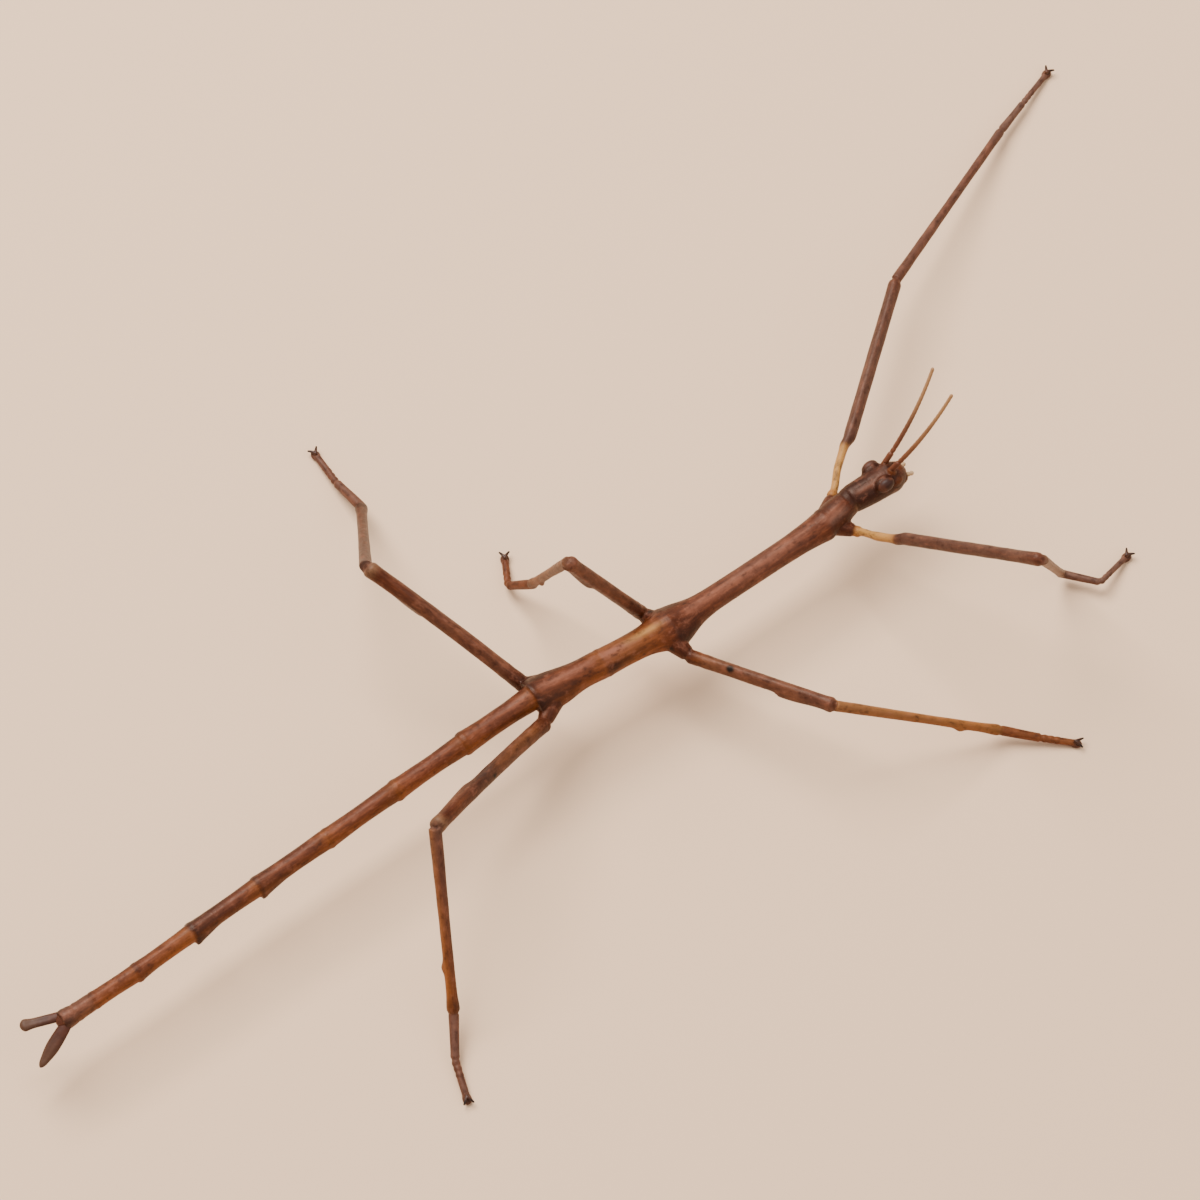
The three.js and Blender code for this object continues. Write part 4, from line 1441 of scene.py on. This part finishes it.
@dataclass(frozen=True)
class SkinFinish:
    """Horny brown skin: half gloss, finely grained, streaked along each limb, with painted highlights
    and painted shade from the mesh's attributes.

    Waves are counted to the metre, and a stretch is waves to the millimetre along the limb and
    in its two directions across.
    """

    brown: Colour = colour(90, 39, 17)
    light: Colour = colour(126, 64, 36)
    warm: Colour = colour(158, 88, 26)
    dark: Colour = colour(44, 14, 5)
    grey: Colour = colour(98, 78, 68)
    pale: Colour = colour(190, 136, 70)
    black: Colour = colour(12, 7, 5)
    # Pinkish colour of the random blotches and of the painted highlight.
    bloom: Colour = colour(150, 92, 70)
    sheen: Colour = (1.0, 0.74, 0.6)
    broad_waves: float = 260.0
    fine_waves: float = 1500.0
    speck_waves: float = 620.0
    streak_stretch: Triple = (0.35, 2.6, 2.6)
    wrinkle_stretch: Triple = (5.5, 1.2, 1.2)
    blotch_stretch: Triple = (0.8, 1.3, 1.3)
    roughness: float = 0.5
    specular: float = 0.3
    relief: float = 0.00009

    def build(self) -> bpy.types.Material:
        """Makes the material."""
        graph = Graph("brown_skin")
        broad = graph.noise(graph.place(self.broad_waves), detail=4.0)
        fine = graph.noise(graph.place(self.fine_waves), detail=3.0, rough=0.65)
        streaks = graph.noise(graph.lie(self.streak_stretch), detail=3.0, rough=0.6)
        wrinkles = graph.noise(graph.lie(self.wrinkle_stretch), detail=2.0)
        blotches = graph.noise(graph.lie(self.blotch_stretch), detail=4.0, rough=0.65)
        spaces = graph.cells(graph.place(self.speck_waves), 1.0).step(0.12, 0.26)
        specks = (1.0 - spaces) * fine.step(0.5, 0.62)
        uneven = (broad - 0.5) * 0.7
        # The dark attribute holds the skin's own dark stains and painted shade; noise adds random darker
        # streaks.
        shade = graph.amount("dark") + (0.5 - streaks) * 0.55 - uneven * 0.5
        base = self.brown
        for share, tint in (
            (streaks.step(0.42, 0.68) * 0.55 + uneven, self.light),
            (graph.amount("warm") + uneven * 0.6, self.warm),
            (shade, self.dark),
            (graph.amount("grey") * (broad + 0.5), self.grey),
            # Painted highlight: the light attribute mixes in the pinkish highlight colour.
            (graph.amount("light") * (streaks + 0.5), self.bloom),
            (graph.amount("pale") * (streaks * 0.4 + 0.8), self.pale),
            (blotches.step(0.5, 0.72) * 0.65, self.dark),
            (blotches.step(0.48, 0.3) * 0.3, self.bloom),
            (specks * 0.5, self.dark),
            (graph.amount("spot"), self.black),
        ):
            base = graph.blend(share.limited(), base, tint)
        rough = self.roughness + (fine - 0.5) * 0.35 - graph.amount("dark") * 0.08
        graph.set(Base_Color=base, Roughness=rough, Specular_IOR_Level=self.specular,
                  Specular_Tint=self.sheen)
        graph.relief(fine * 0.45 + wrinkles * 0.3 + streaks * 0.35, self.relief)
        return graph.material


@dataclass(frozen=True)
class EyeFinish:
    """A compound eye: dark olive brown, glossy, with a fine net of facets."""

    dark: Colour = colour(52, 24, 14)
    light: Colour = colour(84, 46, 30)
    band_waves: float = 700.0
    facets_per_metre: float = 9000.0
    roughness: float = 0.46
    relief: float = 0.00001
    relief_strength: float = 0.4

    def build(self) -> bpy.types.Material:
        """Makes the material."""
        graph = Graph("compound_eye")
        bands = graph.noise(graph.place(self.band_waves), detail=2.0)
        facets = graph.cells(graph.place(1.0), self.facets_per_metre)
        graph.set(Base_Color=graph.blend(bands.step(0.38, 0.66), self.dark, self.light),
                  Roughness=self.roughness + bands * 0.15, Coat_Weight=0.03, Coat_Roughness=0.3,
                  Specular_IOR_Level=0.25)
        graph.relief(1.0 - facets, self.relief, self.relief_strength)
        return graph.material


@dataclass(frozen=True)
class HornFinish:
    """Horn or thin shell in two mottled colours.

    The colours run into each other over noise, `waves` of which fill a metre, and turn to a third
    towards the tip.
    """

    name: str
    one: Colour
    two: Colour
    tip: Colour
    waves: float
    roughness: float
    relief: float = 0.00003
    grain_waves: float = 2600.0

    def build(self) -> bpy.types.Material:
        """Makes the material."""
        graph = Graph(self.name)
        mottle = graph.noise(graph.place(self.waves), detail=4.0)
        fine = graph.noise(graph.place(self.grain_waves), detail=2.0)
        base = graph.blend(mottle.step(0.35, 0.65), self.one, self.two)
        toward = (graph.amount("share") + (mottle - 0.5) * 0.5).step(0.1, 0.95)
        graph.set(Base_Color=graph.blend(toward, base, self.tip),
                  Roughness=self.roughness + (fine - 0.5) * 0.2, Coat_Weight=0.04, Coat_Roughness=0.3,
                  Specular_IOR_Level=0.3)
        graph.relief(fine * 0.5 + mottle * 0.5, self.relief)
        return graph.material


CLAW = HornFinish("claw_horn", colour(52, 24, 12), colour(84, 46, 26), colour(30, 14, 8),
                  waves=900.0, roughness=0.4)
ANTENNA = HornFinish("antenna_shell", colour(88, 40, 22), colour(116, 64, 36), colour(160, 116, 76),
                     waves=160.0, roughness=0.5)
PALP = HornFinish("palp_shell", colour(158, 116, 76), colour(184, 148, 108), colour(192, 156, 116),
                  waves=600.0, roughness=0.45)
CERCUS = HornFinish("cercus_shell", colour(64, 28, 13), colour(88, 42, 22), colour(82, 52, 34),
                    waves=420.0, roughness=0.6, relief=0.00006)


@dataclass(frozen=True)
class FloorFinish:
    """A plain pale floor."""

    tint: Colour = colour(244, 205, 169)
    waves: float = 30.0
    roughness: float = 0.9

    def build(self) -> bpy.types.Material:
        """Makes the material."""
        graph = Graph("pale_floor")
        soft = graph.noise(graph.place(self.waves), detail=1.0)
        graph.set(Base_Color=self.tint, Roughness=self.roughness + (soft - 0.5) * 0.02,
                  Specular_IOR_Level=0.1)
        return graph.material


# Studio.


@dataclass(frozen=True)
class Lamp:
    """A square soft light, placed by its distance and directions from the insect's middle."""

    name: str
    azimuth: float
    elevation: float
    distance: float
    size: float
    power: float
    tint: Colour


@dataclass(frozen=True)
class Studio:
    """The floor, the lights and the camera."""

    maker: Maker
    view_centre: Triple = (84.3, 11.0, 0.0)
    camera_elevation: float = 62.0
    camera_azimuth: float = -126.0
    camera_reach: float = 10.0
    lens: float = 250.0
    sensor: float = 36.0
    frame_width: float = 142.0
    floor_size: float = 12.0
    world_tint: Colour = (1.0, 0.985, 0.97)
    world_strength: float = 0.5
    lamps: tuple[Lamp, ...] = (
        Lamp("key", 95.0, 58.0, distance=0.9, size=0.6, power=15.0, tint=(1.0, 0.98, 0.95)),
        Lamp("fill", -60.0, 50.0, distance=1.1, size=0.9, power=3.5, tint=(1.0, 0.97, 0.94)),
    )

    def floor(self) -> None:
        """Lays the floor just under the feet."""
        shape = bmesh.new()
        bmesh.ops.create_grid(shape, x_segments=1, y_segments=1, size=self.floor_size / 2)
        mesh = bpy.data.meshes.new("floor")
        shape.to_mesh(mesh)
        shape.free()
        mesh.materials.append(FloorFinish().build())
        ground = add_to_scene("floor", mesh)

    def aim(self, thing: bpy.types.Object, out: Vector, distance: float) -> None:
        """Puts a lamp or a camera out in a direction, looking at the insect's middle."""
        thing.location = self.maker.place(Vector(self.view_centre)) + out * distance
        thing.rotation_euler = out.to_track_quat("Z", "Y").to_euler()

    def light(self) -> None:
        """Hangs the lamps and lights the world evenly."""
        for lamp in self.lamps:
            data = bpy.data.lights.new(lamp.name, "AREA")
            data.size = lamp.size
            data.energy = lamp.power
            data.color = lamp.tint
            thing = add_to_scene(lamp.name, data)
            self.aim(thing, heading(lamp.azimuth, lamp.elevation), lamp.distance)
        world = bpy.data.worlds.new("studio")
        world.use_nodes = True
        sky = world.node_tree.nodes["Background"]
        sky.inputs["Color"].default_value = (*self.world_tint, 1.0)
        sky.inputs["Strength"].default_value = self.world_strength
        bpy.context.scene.world = world

    def camera(self) -> None:
        """Sets the camera at its angle, so far off that the frame is as wide as wanted."""
        data = bpy.data.cameras.new("camera")
        data.lens = self.lens
        data.sensor_width = self.sensor
        data.clip_end = self.camera_reach
        thing = add_to_scene("camera", data)
        distance = self.frame_width * MM * self.lens / self.sensor
        self.aim(thing, heading(self.camera_azimuth, self.camera_elevation), distance)
        bpy.context.scene.camera = thing

    def build(self) -> None:
        """Sets up the whole studio."""
        self.floor()
        self.light()
        self.camera()


# Insect.


class StickInsect:
    """The whole insect: one skin, and what is set on it."""

    def __init__(self, maker: Maker) -> None:
        """Works out the body and the legs' points."""
        self.maker = maker
        self.trunk = Trunk()
        self.head = Head()
        self.joints = {leg.name: leg.points(self.trunk) for leg in LEGS}

    def skin(self) -> None:
        """Builds the skin over head, trunk and legs."""
        tubes = self.trunk.tubes() + self.head.tubes()
        nodes = ["head"] + [segment.name for segment in self.trunk.segments]
        for leg in LEGS:
            tubes += leg.skin_tubes(self.joints[leg.name])
            nodes += leg.nodes()
        thing = Skin(tubes).build(self.maker)
        self.maker.finish(thing, nodes, "thorax_skin", SkinFinish().build())

    def pieces(self) -> None:
        """Builds the eyes, feelers, cerci and claws."""
        finishes = {
            "eye": EyeFinish().build(), "antenna": ANTENNA.build(), "palp": PALP.build(),
            "cercus": CERCUS.build(), "claw": CLAW.build(),
        }
        kinds = {
            "eye": self.head.eye_tube, "palp": self.head.palp_tube, "antenna": self.head.antenna_tube,
        }
        made = [(side, kind, shape(side)) for side in Side for kind, shape in kinds.items()]
        made += [(cercus.side, "cercus", cercus.tube(self.trunk.tip)) for cercus in CERCI]
        for side, kind, tube in made:
            thing = self.maker.from_tubes(f"{side.word}_{kind}", [tube])
            self.maker.finish(thing, [f"{kind}_{side.word}"], kind, finishes[kind])
        for leg in LEGS:
            thing = self.maker.from_tubes(f"{leg.name}_hooks", leg.claw_tubes(self.joints[leg.name]))
            self.maker.finish(thing, [f"claws_{leg.name}"], "claw", finishes["claw"])

    def build(self) -> None:
        """Builds everything."""
        self.skin()
        self.pieces()


def corners(box: Sequence[Vector]) -> list[list[float]]:
    """A box's two corners as plain lists of numbers."""
    return [[float(number) for number in corner] for corner in box]


def main() -> None:
    """Builds the insect and its studio."""
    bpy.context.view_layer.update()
    maker = Maker()
    StickInsect(maker).build()
    Studio(maker).build()


if __name__ == "__main__":
    main()
